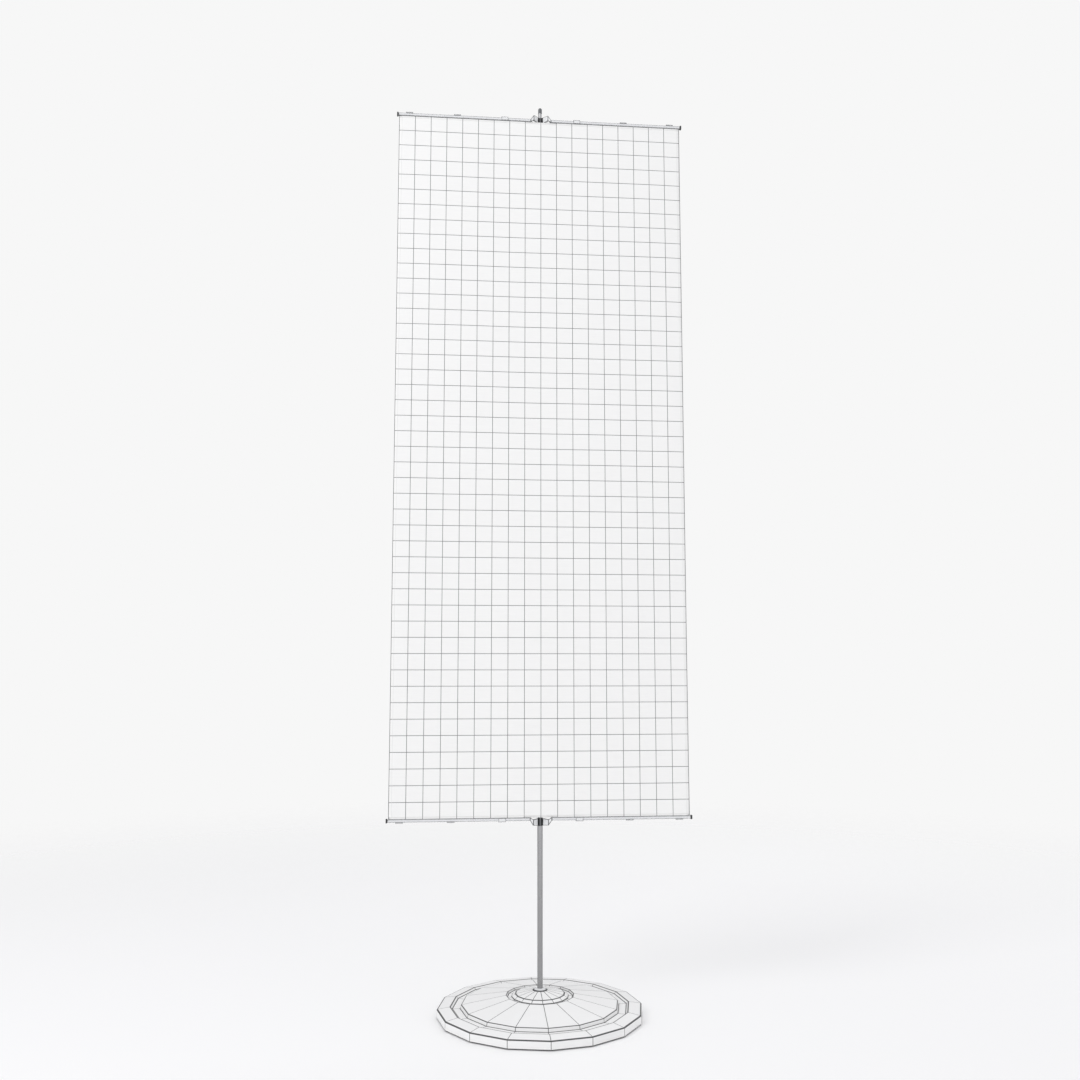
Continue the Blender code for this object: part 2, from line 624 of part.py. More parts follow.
def make_rails(mast, label, edge, up):
    """Two slotted half rails along one edge of the banner, with their end caps. Up is +1 at the top."""
    half = RAIL_DEPTH / 2
    slot = RAIL_SLOT / 2
    roof = RAIL_HEIGHT - RAIL_WALL
    outer = rounded([(-half, 0), (-half, RAIL_HEIGHT), (half, RAIL_HEIGHT), (half, 0)], RAIL_CORNER)
    inner = [
        (slot, 0),
        (slot, RAIL_WALL),
        (half - RAIL_WALL, RAIL_WALL),
        (half - RAIL_WALL, roof),
        (RAIL_WALL - half, roof),
        (RAIL_WALL - half, RAIL_WALL),
        (-slot, RAIL_WALL),
        (-slot, 0),
    ]
    section = [(across, away * up) for across, away in outer + inner]
    rim_height = RAIL_HEIGHT / 2 + CAP_RIM
    rim_depth = half + CAP_RIM
    rim = [
        (-rim_depth, -rim_height),
        (-rim_depth, rim_height),
        (rim_depth, rim_height),
        (rim_depth, -rim_height),
    ]
    stem_height = RAIL_HEIGHT / 2 - RAIL_WALL - SEAT_GAP
    stem_depth = half - RAIL_WALL - SEAT_GAP
    stem = [
        (-stem_depth, -stem_height),
        (-stem_depth, stem_height),
        (stem_depth, stem_height),
        (stem_depth, -stem_height),
    ]
    middle = edge + up * RAIL_MIDDLE
    for side, sign in (("left", -1), ("right", 1)):
        start = min(sign * RAIL_START, sign * RAIL_END)
        extruded(
            f"{label}_rail_{side}",
            section,
            RAIL_END - RAIL_START,
            RAIL_METAL,
            mast,
            location=(start, BANNER_Y, edge),
            rotation=ALONG_X,
        )
        flange_near = sign * (RAIL_END + SEAT_GAP)
        flange_far = sign * (RAIL_END + SEAT_GAP + CAP_FLANGE)
        cap = extruded(
            f"{label}_end_cap_{side}",
            rounded(rim, CAP_CORNER, CAP_CORNER_STEPS),
            CAP_FLANGE,
            DARK_PLASTIC,
            mast,
            location=(min(flange_near, flange_far), BANNER_Y, middle),
            rotation=ALONG_X,
        )
        stem_start = min(sign * (RAIL_END - CAP_STEM), sign * (RAIL_END + CAP_FLANGE / 2))
        stem_solid = extruded(
            f"{label}_cap_stem_{side}",
            stem,
            CAP_STEM + CAP_FLANGE / 2,
            DARK_PLASTIC,
            mast,
            location=(stem_start, BANNER_Y, middle),
            rotation=ALONG_X,
        )
        combine(cap, hidden(stem_solid), "UNION")


def clip_section(up, full_front):
    """A clip's section round a rail. A full front covers the rail, the others only hook it."""
    half = RAIL_DEPTH / 2
    inner = half + SEAT_GAP
    outer = inner + CLIP_WALL
    crown = RAIL_HEIGHT + SEAT_GAP
    top = crown + CLIP_CROWN
    front_end = 0 if full_front else RAIL_HEIGHT - CLIP_HOOK
    points = [
        (-outer, front_end),
        (-outer, top),
        (outer, top),
        (outer, -SEAT_GAP - CLIP_LIP),
        (half - RAIL_WALL, -SEAT_GAP - CLIP_LIP),
        (half - RAIL_WALL, -SEAT_GAP),
        (inner, -SEAT_GAP),
        (inner, crown),
        (-inner, crown),
        (-inner, front_end),
    ]
    return [(across, away * up) for across, away in points]


def make_clips(mast, label, edge, up):
    """Snap clips along one rail: the pair beside the bracket has a full front plate."""
    for side, sign in (("left", -1), ("right", 1)):
        for index in range(CLIPS_PER_HALF):
            middle = sign * (CLIP_FIRST + index * CLIP_PITCH)
            extruded(
                f"{label}_clip_{side}_{index + 1}",
                clip_section(up, full_front=index == 0),
                CLIP_WIDTH,
                LIGHT_PLASTIC,
                mast,
                location=(middle - CLIP_WIDTH / 2, BANNER_Y, edge),
                rotation=ALONG_X,
            )


def arm_section(front, back, low, high):
    """Four corners of a section of an arm: its front and back edge, each low and high."""
    return [(*front, low), (*front, high), (*back, high), (*back, low)]


def make_arm(bracket, mast, label, side, sign, edge, up):
    """One swept ear: from the sleeve out to a ridge, down to the rail, and a spigot inside the rail."""
    root_front = (ARM_ROOT * sin(ARM_FRONT_TURN), -ARM_ROOT * cos(ARM_FRONT_TURN))
    root_back = (ARM_ROOT * sin(ARM_BACK_TURN), -ARM_ROOT * cos(ARM_BACK_TURN))
    root_low = SLEEVE_OFFSET + ARM_INSET
    root_high = SLEEVE_OFFSET + SLEEVE_HEIGHT - ARM_INSET
    stations = [
        (root_front, root_back, root_low, root_high),
        ((RIDGE_X, RAIL_FRONT_Y), (RIDGE_BACK_X, RAIL_BACK_Y), RIDGE_LOW, RIDGE_HIGH),
        ((EAR_X, RAIL_FRONT_Y), (EAR_X, RAIL_BACK_Y), 0, RAIL_HEIGHT),
    ]
    ear = [
        arm_section((sign * fx, fy), (sign * bx, by), up * near, up * far)
        for (fx, fy), (bx, by), near, far in stations
    ]
    half_height = RAIL_HEIGHT / 2 - RAIL_WALL - SEAT_GAP
    half_depth = RAIL_DEPTH / 2 - RAIL_WALL - SEAT_GAP
    spigot = [
        arm_section(
            (sign * x, BANNER_Y - half_depth),
            (sign * x, BANNER_Y + half_depth),
            up * (RAIL_MIDDLE - half_height),
            up * (RAIL_MIDDLE + half_height),
        )
        for x in (EAR_X - SPIGOT_ROOT, EAR_X + SPIGOT_LENGTH)
    ]
    for piece, sections in (("arm", ear), ("spigot", spigot)):
        solid = lofted(f"{label}_{piece}_{side}", sections, LIGHT_PLASTIC, mast, location=(0, 0, edge))
        combine(bracket, hidden(solid), "UNION")


def make_bracket(mast, label, edge, up):
    """Sleeve on the mast with two swept ears for the half rails and a boss for the clamp screw."""
    middle = up * KNOB_OFFSET
    low = middle - SLEEVE_HEIGHT / 2
    sleeve = rod(SLEEVE_RADIUS, low, low + SLEEVE_HEIGHT)
    bracket = turned(f"{label}_bracket", sleeve, LIGHT_PLASTIC, mast, location=(0, 0, edge))
    for side, sign in (("left", -1), ("right", 1)):
        make_arm(bracket, mast, label, side, sign, edge, up)
    boss_root = SLEEVE_BORE / 2
    boss_length = KNOB_BOSS_END - boss_root
    boss = (KNOB_BOSS_RADIUS, boss_length, backward_cylinder(boss_root + boss_length / 2, middle))
    drill_length = CUT_THROUGH * (KNOB_BOSS_END - MAST_RADIUS / 2)
    drill = (CLAMP_SCREW_RADIUS + SEAT_GAP, drill_length, backward_cylinder(KNOB_BOSS_END, middle))
    bore = (SLEEVE_BORE, CUT_THROUGH * SLEEVE_HEIGHT, Matrix.Translation((0, 0, middle)))
    steps = (("boss", boss, "UNION", SMALL_SIDES), ("drill", drill, "DIFFERENCE", SMALL_SIDES))
    for name, shape, operation, sides in (*steps, ("bore", bore, "DIFFERENCE", ROUND_SIDES)):
        guide = cutter(f"{label}_{name}", [shape], mast, sides)
        guide.location = (0, 0, edge)
        combine(bracket, guide, operation)


def backward_cylinder(depth, height):
    """The matrix of a cylinder on the middle plane whose axis points to the back."""
    return Matrix.Translation((0, depth, height)) @ Matrix.Rotation(-pi / 2, 4, "X")


def make_knob(mast, label, edge, up):
    """Lobed knob and its clamp screw, on an axis of their own behind the bracket."""
    seat = KNOB_BOSS_END + KNOB_GAP
    axis = axis_empty(f"{label}_knob_axis", mast, (0, seat, edge + up * KNOB_OFFSET), FACING_BACK)
    turns = [2 * pi * index / KNOB_SIDES for index in range(KNOB_SIDES)]
    lobes = [KNOB_RADIUS - KNOB_LOBE_DEPTH * (1 - cos(KNOB_LOBES * turn)) / 2 for turn in turns]
    outline = [(reach * cos(turn), reach * sin(turn)) for reach, turn in zip(lobes, turns)]
    knob = extruded(f"{label}_knob", outline, KNOB_LENGTH, DARK_PLASTIC, axis)
    edges = knob.modifiers.new("edges", "BEVEL")
    edges.width = KNOB_BEVEL
    edges.segments = 2
    edges.limit_method = "ANGLE"
    edges.angle_limit = radians(60)
    socket = cutter(
        f"{label}_knob_socket",
        [(CLAMP_SCREW_RADIUS + SEAT_GAP, CUT_THROUGH * KNOB_SOCKET, Matrix.Identity(4))],
        axis,
    )
    combine(knob, socket, "DIFFERENCE")
    tip = MAST_RADIUS + SEAT_GAP - seat
    turned(f"{label}_knob_screw", rod(CLAMP_SCREW_RADIUS, tip, KNOB_SOCKET - SEAT_GAP), STEEL, axis)


def make_banner(mast):
    """Thin cloth panel with a beaded hem in each half rail's slot."""
    half = BANNER_THICKNESS / 2
    low = BANNER_BOTTOM + EDGE_GAP
    high = BANNER_TOP - EDGE_GAP
    panel = extruded(
        "banner",
        [(-half, low), (half, low), (half, high), (-half, high)],
        BANNER_WIDTH,
        CLOTH,
        mast,
        location=(-BANNER_WIDTH / 2, BANNER_Y, 0),
        rotation=ALONG_X,
    )
    opening = bead_opening()
    for label, edge, up in (("top", BANNER_TOP, 1), ("bottom", BANNER_BOTTOM, -1)):
        centre = RAIL_WALL + SEAT_GAP + BEAD_RADIUS
        sweep = 2 * pi - 2 * opening
        turns = [-pi / 2 + opening + sweep * step / BEAD_SIDES for step in range(BEAD_SIDES + 1)]
        bead = [(BEAD_RADIUS * cos(turn), centre + BEAD_RADIUS * sin(turn)) for turn in turns]
        hem = [(-half, -RAIL_HEIGHT), (half, -RAIL_HEIGHT)] + bead
        section = [(across, away * up) for across, away in hem]
        for side, sign in (("left", -1), ("right", 1)):
            start = min(sign * BEAD_START, sign * BEAD_END)
            solid = extruded(
                f"{label}_hem_{side}",
                section,
                BEAD_END - BEAD_START,
                CLOTH,
                mast,
                location=(start, BANNER_Y, edge),
                rotation=ALONG_X,
            )
            combine(panel, hidden(solid), "UNION")


def bead_opening():
    """Half the angle over which the cloth enters the bead."""
    return BANNER_THICKNESS / 2 / BEAD_RADIUS


base_axis = axis_empty("base_axis")
make_floor_plate(base_axis)
make_feet(base_axis)
make_ballast(base_axis)
make_cover(base_axis)
make_cover_screws(base_axis)
make_hub(base_axis)
make_spindle(base_axis)
pole_axis = axis_empty("pole_axis", base_axis)
make_lower_pole(pole_axis)
lock_axis = axis_empty("lock_axis", pole_axis)
make_lock(lock_axis)
mast_axis = axis_empty("mast_axis", lock_axis)
make_mast(mast_axis)
for rail_label, rail_edge, away_from_cloth in (("top", BANNER_TOP, 1), ("bottom", BANNER_BOTTOM, -1)):
    make_rails(mast_axis, rail_label, rail_edge, away_from_cloth)
    make_clips(mast_axis, rail_label, rail_edge, away_from_cloth)
    make_bracket(mast_axis, rail_label, rail_edge, away_from_cloth)
    make_knob(mast_axis, rail_label, rail_edge, away_from_cloth)
make_banner(mast_axis)
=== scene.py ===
# %% [markdown]
# # Banner stand: a cloth banner between two rails on a telescopic pole
#
# The stand was drawn first as measured solids, one for each part that a workshop would make.
# They stay where they are and they move as the real parts move. This script gives them their looks:
# the turned parts get finer curves, the moulded parts get soft corners, the banner becomes real cloth
# and every part gets the surface that its making leaves on it.
#
# All lengths are in metres, +Z is up and the banner faces -Y.

from math import atan2, cos, hypot, pi, radians, sin

import bmesh
import bpy
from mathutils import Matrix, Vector
from mathutils.kdtree import KDTree


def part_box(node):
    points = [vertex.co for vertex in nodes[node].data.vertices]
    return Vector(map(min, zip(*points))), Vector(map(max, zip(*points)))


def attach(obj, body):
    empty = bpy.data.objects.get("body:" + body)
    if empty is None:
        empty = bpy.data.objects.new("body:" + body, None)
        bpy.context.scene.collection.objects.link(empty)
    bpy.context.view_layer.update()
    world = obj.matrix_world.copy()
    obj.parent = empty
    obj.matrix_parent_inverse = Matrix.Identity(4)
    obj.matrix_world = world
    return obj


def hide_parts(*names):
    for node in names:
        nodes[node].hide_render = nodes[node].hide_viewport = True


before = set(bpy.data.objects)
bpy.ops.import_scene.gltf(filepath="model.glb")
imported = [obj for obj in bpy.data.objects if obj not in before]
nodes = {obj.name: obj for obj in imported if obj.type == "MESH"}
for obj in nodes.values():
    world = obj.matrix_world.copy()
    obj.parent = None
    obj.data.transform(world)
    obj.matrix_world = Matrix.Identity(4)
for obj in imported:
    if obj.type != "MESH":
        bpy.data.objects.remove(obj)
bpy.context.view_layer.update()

# %% [markdown]
# ## Where the eye is
#
# A person crouching three metres away, a little to the left of the stand, looks slightly upwards.
# A lens as long as its sensor is wide gives a calm, natural perspective. A tall stand could be framed with
# a shifted lens, which keeps its verticals parallel. Here the camera is tilted instead, as a person's head
# is, so the banner narrows very slightly towards its top.

# %% Camera
EYE = (-0.3028, -3.0711, 0.9443)
LOOK_UP = radians(6.71)
LOOK_RIGHT = radians(5.63)
SENSOR_MM = 36
LENS_MM = 36.06

camera = bpy.data.objects.new("camera", bpy.data.cameras.new("camera"))
bpy.context.scene.collection.objects.link(camera)
camera.data.sensor_width = SENSOR_MM
camera.data.lens = LENS_MM
camera.location = EYE
camera.rotation_euler = (pi / 2 + LOOK_UP, 0, -LOOK_RIGHT)
bpy.context.scene.camera = camera
bpy.context.scene.view_settings.view_transform = "Standard"
print("the camera stands", round(Vector(EYE).length, 2), "m from the foot of the pole")

# %% [markdown]
# ## Colours and nodes
#
# Colours are easiest to pick as sRGB hex codes, but shaders count in linear light, so one function turns one
# into the other. A second small function adds any node, with its settings and its links, which keeps each
# material short enough to read as a recipe. A third turns a pattern's real size into its scale.


# %% Helpers for every material
def linear(code):
    """An sRGB hex colour such as "F2F2F0" as the linear colour that a shader takes."""
    parts = [int(code[start : start + 2], 16) / 255 for start in (0, 2, 4)]
    return (*[part / 12.92 if part <= 0.04045 else ((part + 0.055) / 1.055) ** 2.4 for part in parts], 1)


def add(tree, kind, settings=None, links=None):
    """Adds one node. A setting is a property or an input's value, and a link feeds an input from a socket."""
    made = tree.nodes.new("ShaderNode" + kind)
    for key, value in (settings or {}).items():
        if isinstance(key, str) and hasattr(made, key):
            setattr(made, key, value)
        else:
            made.inputs[key].default_value = value
    for key, socket in (links or {}).items():
        tree.links.new(socket, made.inputs[key])
    return made


def per(millimetres):
    """How many repeats of a pattern fit in a metre, from its real size."""
    return 1000 / millimetres


print("white plastic in linear light:", [round(part, 3) for part in linear("F3F3F3")[:3]])

# %% [markdown]
# ## Floor
#
# The floor is plain and pale. A studio hides its horizon with a curved backdrop, but that would stand in
# the way of a camera behind the banner. So the floor is a flat disc that thins out into the pale
# surroundings, and no horizon cuts the picture from any side.

# %% Floor
FLOOR_RADIUS = 5.5
FADE_START = 1.2
FADE_END = 4.95
FLOOR_SIDES = 96

floor_mesh = bmesh.new()
bmesh.ops.create_circle(floor_mesh, cap_ends=True, segments=FLOOR_SIDES, radius=FLOOR_RADIUS)
floor = bpy.data.objects.new("floor", bpy.data.meshes.new("floor"))
floor_mesh.to_mesh(floor.data)
floor_mesh.free()
bpy.context.scene.collection.objects.link(floor)
floor.data.materials.append(bpy.data.materials.new("matt_studio_floor"))
floor.data.materials[0].use_nodes = True
tree = floor.data.materials[0].node_tree
shader = tree.nodes["Principled BSDF"]
shader.inputs["Base Color"].default_value = linear("F8F8F8")
shader.inputs["Roughness"].default_value = 0.9
place = add(tree, "TexCoord").outputs["Object"]
reach = add(tree, "VectorMath", {"operation": "LENGTH"}, {0: place})
fade = add(
    tree,
    "MapRange",
    {"interpolation_type": "SMOOTHSTEP", "From Min": FADE_START, "From Max": FADE_END},
    {"Value": reach.outputs["Value"]},
)
clear = add(tree, "BsdfTransparent")
both = add(
    tree,
    "MixShader",
    links={"Fac": fade.outputs["Result"], 1: shader.outputs["BSDF"], 2: clear.outputs["BSDF"]},
)
tree.links.new(both.outputs["Shader"], tree.nodes["Material Output"].inputs["Surface"])
print("floor", 2 * FLOOR_RADIUS, "m across")

# %% [markdown]
# ## Lamps and sky
#
# White things on a pale floor need little contrast: three large lamps and an even sky give gentle shading
# with soft shadows. A picture of a sky could light the stand too, but an even one is steady from every
# side. A tube mirrors its surroundings, so in mirror rays the sky is brighter in front of the stand than
# behind it, and that difference is what makes the pole look round.

# %% Lamps and sky
LAMPS = {  # where each stands, its width in metres and its power in watts
    "key": ((-3.4, -2.6, 3.6), 2.0, 58),
    "fill": ((3.0, -3.0, 1.6), 2.4, 8),
    "back": ((2.4, 2.6, 3.4), 2.2, 22),
}
TARGET = Vector((0, 0, 1.2))
SKY_STRENGTH = 0.86
FRONT_GLOSS = 1.6
BACK_GLOSS = 0.45

world = bpy.data.worlds.new("sky")
world.use_nodes = True
sky = world.node_tree
shown = sky.nodes["Background"]
shown.inputs["Color"].default_value = linear("F7F7F7")
ray = add(sky, "LightPath").outputs
ahead = add(sky, "SeparateXYZ", links={0: add(sky, "TexCoord").outputs["Generated"]})
mirrored = add(
    sky,
    "MapRange",
    {"From Min": -1, "From Max": 1, "To Min": FRONT_GLOSS, "To Max": BACK_GLOSS},
    {"Value": ahead.outputs["Y"]},
)
strength = add(sky, "Mix", {2: SKY_STRENGTH}, {0: ray["Is Glossy Ray"], 3: mirrored.outputs["Result"]})
lit = add(sky, "Background", {"Color": linear("F8F8FA")}, {"Strength": strength.outputs[0]})
seen = ray["Is Camera Ray"]
either = add(
    sky,
    "MixShader",
    links={"Fac": seen, 1: lit.outputs["Background"], 2: shown.outputs["Background"]},
)
sky.links.new(either.outputs["Shader"], sky.nodes["World Output"].inputs["Surface"])
bpy.context.scene.world = world
for name, (where, size, power) in LAMPS.items():
    lamp = bpy.data.objects.new(name, bpy.data.lights.new(name, "AREA"))
    lamp.data.size = size
    lamp.data.energy = power
    lamp.location = where
    lamp.rotation_euler = (TARGET - Vector(where)).to_track_quat("-Z", "Y").to_euler()
    bpy.context.scene.collection.objects.link(lamp)
print(len(LAMPS), "lamps")

# %% [markdown]
# ## Tools for the pieces
#
# A CAD solid has few sides and hard corners. Subdividing it would round everything alike. So a turned part
# is made again from half of its section: the section is read off the solid, its corners are rounded and it
# is spun in many more steps. A part with flat faces keeps its mesh and gets a narrow bevel along its
# corners, which is what catches the light on a real edge.

# %% Read, soften and spin a section
JOIN = 2e-6
SMOOTH = radians(32)
FLAT = radians(1)
HARD = radians(30)
ARC_STEPS = 4
ARC_REACH = 0.45  # the most of a side that one corner's arc may take
RIDGE_STEPS = 3


def merged(node):
    """A CAD piece's mesh, with the corners that its file had split joined again."""
    bm = bmesh.new()
    bm.from_mesh(nodes[node].data)
    bmesh.ops.remove_doubles(bm, verts=bm.verts, dist=JOIN)
    return bm


def half_section(node):
    """(radius, height) round half of a turned piece's section, whether it is a ring, and its middle."""
    low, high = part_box(node)
    middle = (low + high) / 2
    bm = merged(node)
    near = {v for v in bm.verts if abs(v.co.y - middle.y) < JOIN and v.co.x > middle.x - JOIN}
    ways = {v: [e.other_vert(v) for e in v.link_edges if e.other_vert(v) in near] for v in near}
    ends = [v for v in near if len(ways[v]) == 1]
    at = min(ends or near, key=lambda v: (v.co.z, v.co.x))
    order = [at]
    while True:
        ahead = [v for v in ways[order[-1]] if v not in order]
        if not ahead:
            break
        order.append(ahead[0])
    outline = [(v.co.x - middle.x, v.co.z) for v in order]
    bm.free()
    if ends:
        first = [(0, outline[0][1])] if outline[0][0] > JOIN else []
        last = [(0, outline[-1][1])] if outline[-1][0] > JOIN else []
        outline = first + outline + last
    return outline, not ends, middle


def crests(outline):
    """For each corner of a closed section, whether it points out of the material."""
    turns = []
    for index, (x, y) in enumerate(outline):
        (px, py), (nx, ny) = outline[index - 1], outline[(index + 1) % len(outline)]
        turns.append((x - px) * (ny - y) - (y - py) * (nx - x))
    area = sum(x * ny - nx * y for (x, y), (nx, ny) in zip(outline, outline[1:] + outline[:1]))
    return [turn * area > 0 for turn in turns]


def softened(outline, ring, corner):
    """The outline with every corner turned into a small arc."""
    soft = []
    count = len(outline)
    for index, (x, y) in enumerate(outline):
        if not ring and index in (0, count - 1):
            soft.append((x, y))
            continue
        ends = []
        for px, py in (outline[index - 1], outline[(index + 1) % count]):
            length = hypot(px - x, py - y)
            share = min(corner, length * ARC_REACH) / length
            ends.append((x + (px - x) * share, y + (py - y) * share))
        for step in range(ARC_STEPS + 1):
            t = step / ARC_STEPS
            weights = ((1 - t) ** 2, 2 * t * (1 - t), t * t)
            shape = (ends[0], (x, y), ends[1])
            soft.append(tuple(sum(w * p[axis] for w, p in zip(weights, shape)) for axis in (0, 1)))
    return soft


def piece(name, bm, materials, body, replaced=()):
    """The mesh as a shown piece that rides on a body and stands for CAD nodes."""
    bmesh.ops.recalc_face_normals(bm, faces=bm.faces)
    mesh = bpy.data.meshes.new(name)
    bm.to_mesh(mesh)
    bm.free()
    for material in materials:
        mesh.materials.append(material)
    mesh.shade_smooth()
    mesh.set_sharp_from_angle(angle=SMOOTH)
    made = bpy.data.objects.new(name, mesh)
    bpy.context.scene.collection.objects.link(made)
    flat = made.modifiers.new("even_shading", "WEIGHTED_NORMAL")
    flat.keep_sharp = True
    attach(made, body)
    if replaced:
        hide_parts(*replaced)
    return made


def spun(name, node, material, body, corner, sides, ridge=0):
    """A turned CAD piece made again with soft corners. With few sides, its ridges can be softened too."""
    outline, ring, middle = half_section(node)
    soft = softened(outline, ring, corner)
    bm = bmesh.new()
    points = [bm.verts.new((middle.x + radius, middle.y, height)) for radius, height in soft]
    edges = [bm.edges.new(pair) for pair in zip(points, points[1:])]
    if ring:
        edges.append(bm.edges.new((points[-1], points[0])))
    bmesh.ops.spin(
        bm,
        geom=points + edges,
        cent=(middle.x, middle.y, 0),
        axis=(0, 0, 1),
        angle=2 * pi,
        steps=sides,
        use_merge=True,
    )
    bmesh.ops.remove_doubles(bm, verts=bm.verts, dist=JOIN)
    if ridge:
        step = 2 * pi / sides
        turn = {v: round(atan2(v.co.y - middle.y, v.co.x - middle.x) / step, 3) for v in bm.verts}
        ridges = [e for e in bm.edges if turn[e.verts[0]] == turn[e.verts[1]]]
        bmesh.ops.bevel(
            bm,
            geom=ridges,
            offset=ridge,
            offset_type="OFFSET",
            segments=RIDGE_STEPS,
            profile=0.5,
            affect="EDGES",
        )
    return piece(name, bm, [material], body, [node])


def bevelled(name, node, material, body, width, segments=2):
    """A flat-faced CAD piece with its corners broken by a narrow bevel."""
    bm = merged(node)
    bmesh.ops.dissolve_limit(bm, angle_limit=FLAT, verts=bm.verts, edges=bm.edges)
    corners = [e for e in bm.edges if e.is_manifold and e.calc_face_angle() > HARD]
    bmesh.ops.bevel(
        bm,
        geom=corners,
        offset=width,
        offset_type="OFFSET",
        segments=segments,
        profile=0.5,
        affect="EDGES",
        clamp_overlap=True,
    )
    return piece(name, bm, [material], body, [node])


print("section of the hub:", len(half_section("hub_cap")[0]), "corners")

# %% [markdown]
# ## Moulded shell plastic
#
# The base cover and the hub are white ABS, injection moulded in a lightly spark-eroded mould. That gives
# a satin skin with a fine grain, and a gloss that changes a little from place to place. A fine groove
# follows each of the sixteen ridges and each corner of the section, divides cover and hub into clear
# panels and has its shade painted dark into the colour. Cut into the mesh, grooves this narrow would need
# a very dense one. So they are drawn in the material, as a bump with painted shade, from the angle round
# the pole and from the distance to the section's corners, and stay sharp on any mesh. Outer corners get a
# bolder line of painted shade than hollows, and lines are wider on flat tops than on walls.

# %% White ABS and its sixteen ridges
SECTORS = 16
SECTOR = 2 * pi / SECTORS
ABS_IOR = 1.53


def started(name, colour, roughness):
    """A new material: itself, its node tree, its shader and the piece's own coordinates."""
    material = bpy.data.materials.new(name)
    material.use_nodes = True
    nodes_of = material.node_tree
    principled = nodes_of.nodes["Principled BSDF"]
    principled.inputs["Base Color"].default_value = linear(colour)
    principled.inputs["Roughness"].default_value = roughness
    return material, nodes_of, principled, add(nodes_of, "TexCoord").outputs["Object"]


abs_white, tree, shader, place = started("moulded_abs_white", "F3F3F3", 0.4)
shader.inputs["IOR"].default_value = ABS_IOR
axes = add(tree, "SeparateXYZ", links={0: place})
angle = add(tree, "Math", {"operation": "ARCTAN2"}, {0: axes.outputs["Y"], 1: axes.outputs["X"]})
turns = add(tree, "Math", {"operation": "MULTIPLY", 1: 1 / SECTOR}, {0: angle.outputs[0]})
aside = add(tree, "Math", {"operation": "PINGPONG", 1: 0.5}, {0: turns.outputs[0]})
level = add(tree, "VectorMath", {"operation": "MULTIPLY", 1: (1, 1, 0)}, {0: place})
radius = add(tree, "VectorMath", {"operation": "LENGTH"}, {0: level.outputs["Vector"]})
arc = add(
    tree, "Math", {"operation": "MULTIPLY"}, {0: aside.outputs[0], 1: radius.outputs["Value"]}
)
from_ridge = add(tree, "Math", {"operation": "MULTIPLY", 1: SECTOR}, {0: arc.outputs[0]})
lean = add(tree, "Math", {"operation": "MULTIPLY_ADD", 1: -SECTOR, 2: SECTOR / 2}, {0: aside.outputs[0]})
inward = add(tree, "Math", {"operation": "COSINE"}, {0: lean.outputs[0]})
corner = add(tree, "Math", {"operation": "MULTIPLY"}, {0: radius.outputs["Value"], 1: inward.outputs[0]})
flat_radius = add(tree, "Math", {"operation": "DIVIDE", 1: cos(SECTOR / 2)}, {0: corner.outputs[0]})
print("a ridge every", 360 / SECTORS, "degrees")

# %% Lines of painted shade round the section's corners
THIN_LINE = 0.0011
BOLD_LINE = 0.0015
LINE_CORE = 0.35  # the share of a line's width that is fully dark
TOP_WIDENING = 0.4  # a line's width on a wall, as a share of its width on a flat top

section = add(tree, "CombineXYZ", links={"X": flat_radius.outputs[0], "Y": axes.outputs["Z"]})
squeezed = add(
    tree,
    "VectorMath",
    {"operation": "MULTIPLY", 1: (TOP_WIDENING, 1, 1)},
    {0: section.outputs["Vector"]},
)
from_line = from_ridge
collar_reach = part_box("pole_collar")[1].x
foot_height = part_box("hub_cap")[0].z
for node in ("base_cover", "hub_cap"):
    outline = half_section(node)[0]
    for (edge_radius, edge_height), crest in zip(outline, crests(outline)):
        hidden = edge_radius < collar_reach + THIN_LINE or edge_height < foot_height + THIN_LINE
        if node == "hub_cap" and hidden:
            continue
        away = add(
            tree,
            "VectorMath",
            {"operation": "DISTANCE", 1: (edge_radius * TOP_WIDENING, edge_height, 0)},
            {0: squeezed.outputs["Vector"]},
        )
        weighed = add(
            tree,
            "Math",
            {"operation": "MULTIPLY", 1: THIN_LINE / (BOLD_LINE if crest else THIN_LINE)},
            {0: away.outputs["Value"]},
        )
        from_line = add(
            tree, "Math", {"operation": "MINIMUM"}, {0: from_line.outputs[0], 1: weighed.outputs[0]}
        )
# The groove mask sinks the bump and also paints the groove's shade into the colour.
groove_and_painted_shade = add(
    tree,
    "MapRange",
    {
        "interpolation_type": "SMOOTHSTEP",
        "From Min": THIN_LINE * LINE_CORE,
        "From Max": THIN_LINE,
        "To Min": 1,
        "To Max": 0,
    },
    {"Value": from_line.outputs[0]},
)
print(THIN_LINE * 2000, "mm grooves")

# %% Skin and gloss of the ABS
GRAIN_MM = 0.9  # the real grain is about 0.2 mm, drawn coarser so that it shows
WEAR_MM = 90

grain = add(tree, "TexNoise", {"Scale": per(GRAIN_MM), "Detail": 2}, {"Vector": place})
cloud = add(tree, "TexNoise", {"Scale": per(WEAR_MM), "Detail": 4}, {"Vector": place})
tone = add(
    tree,
    "Mix",
    {"data_type": "RGBA", 6: linear("F6F6F6"), 7: linear("EEEEED")},
    {0: cloud.outputs["Fac"]},
)
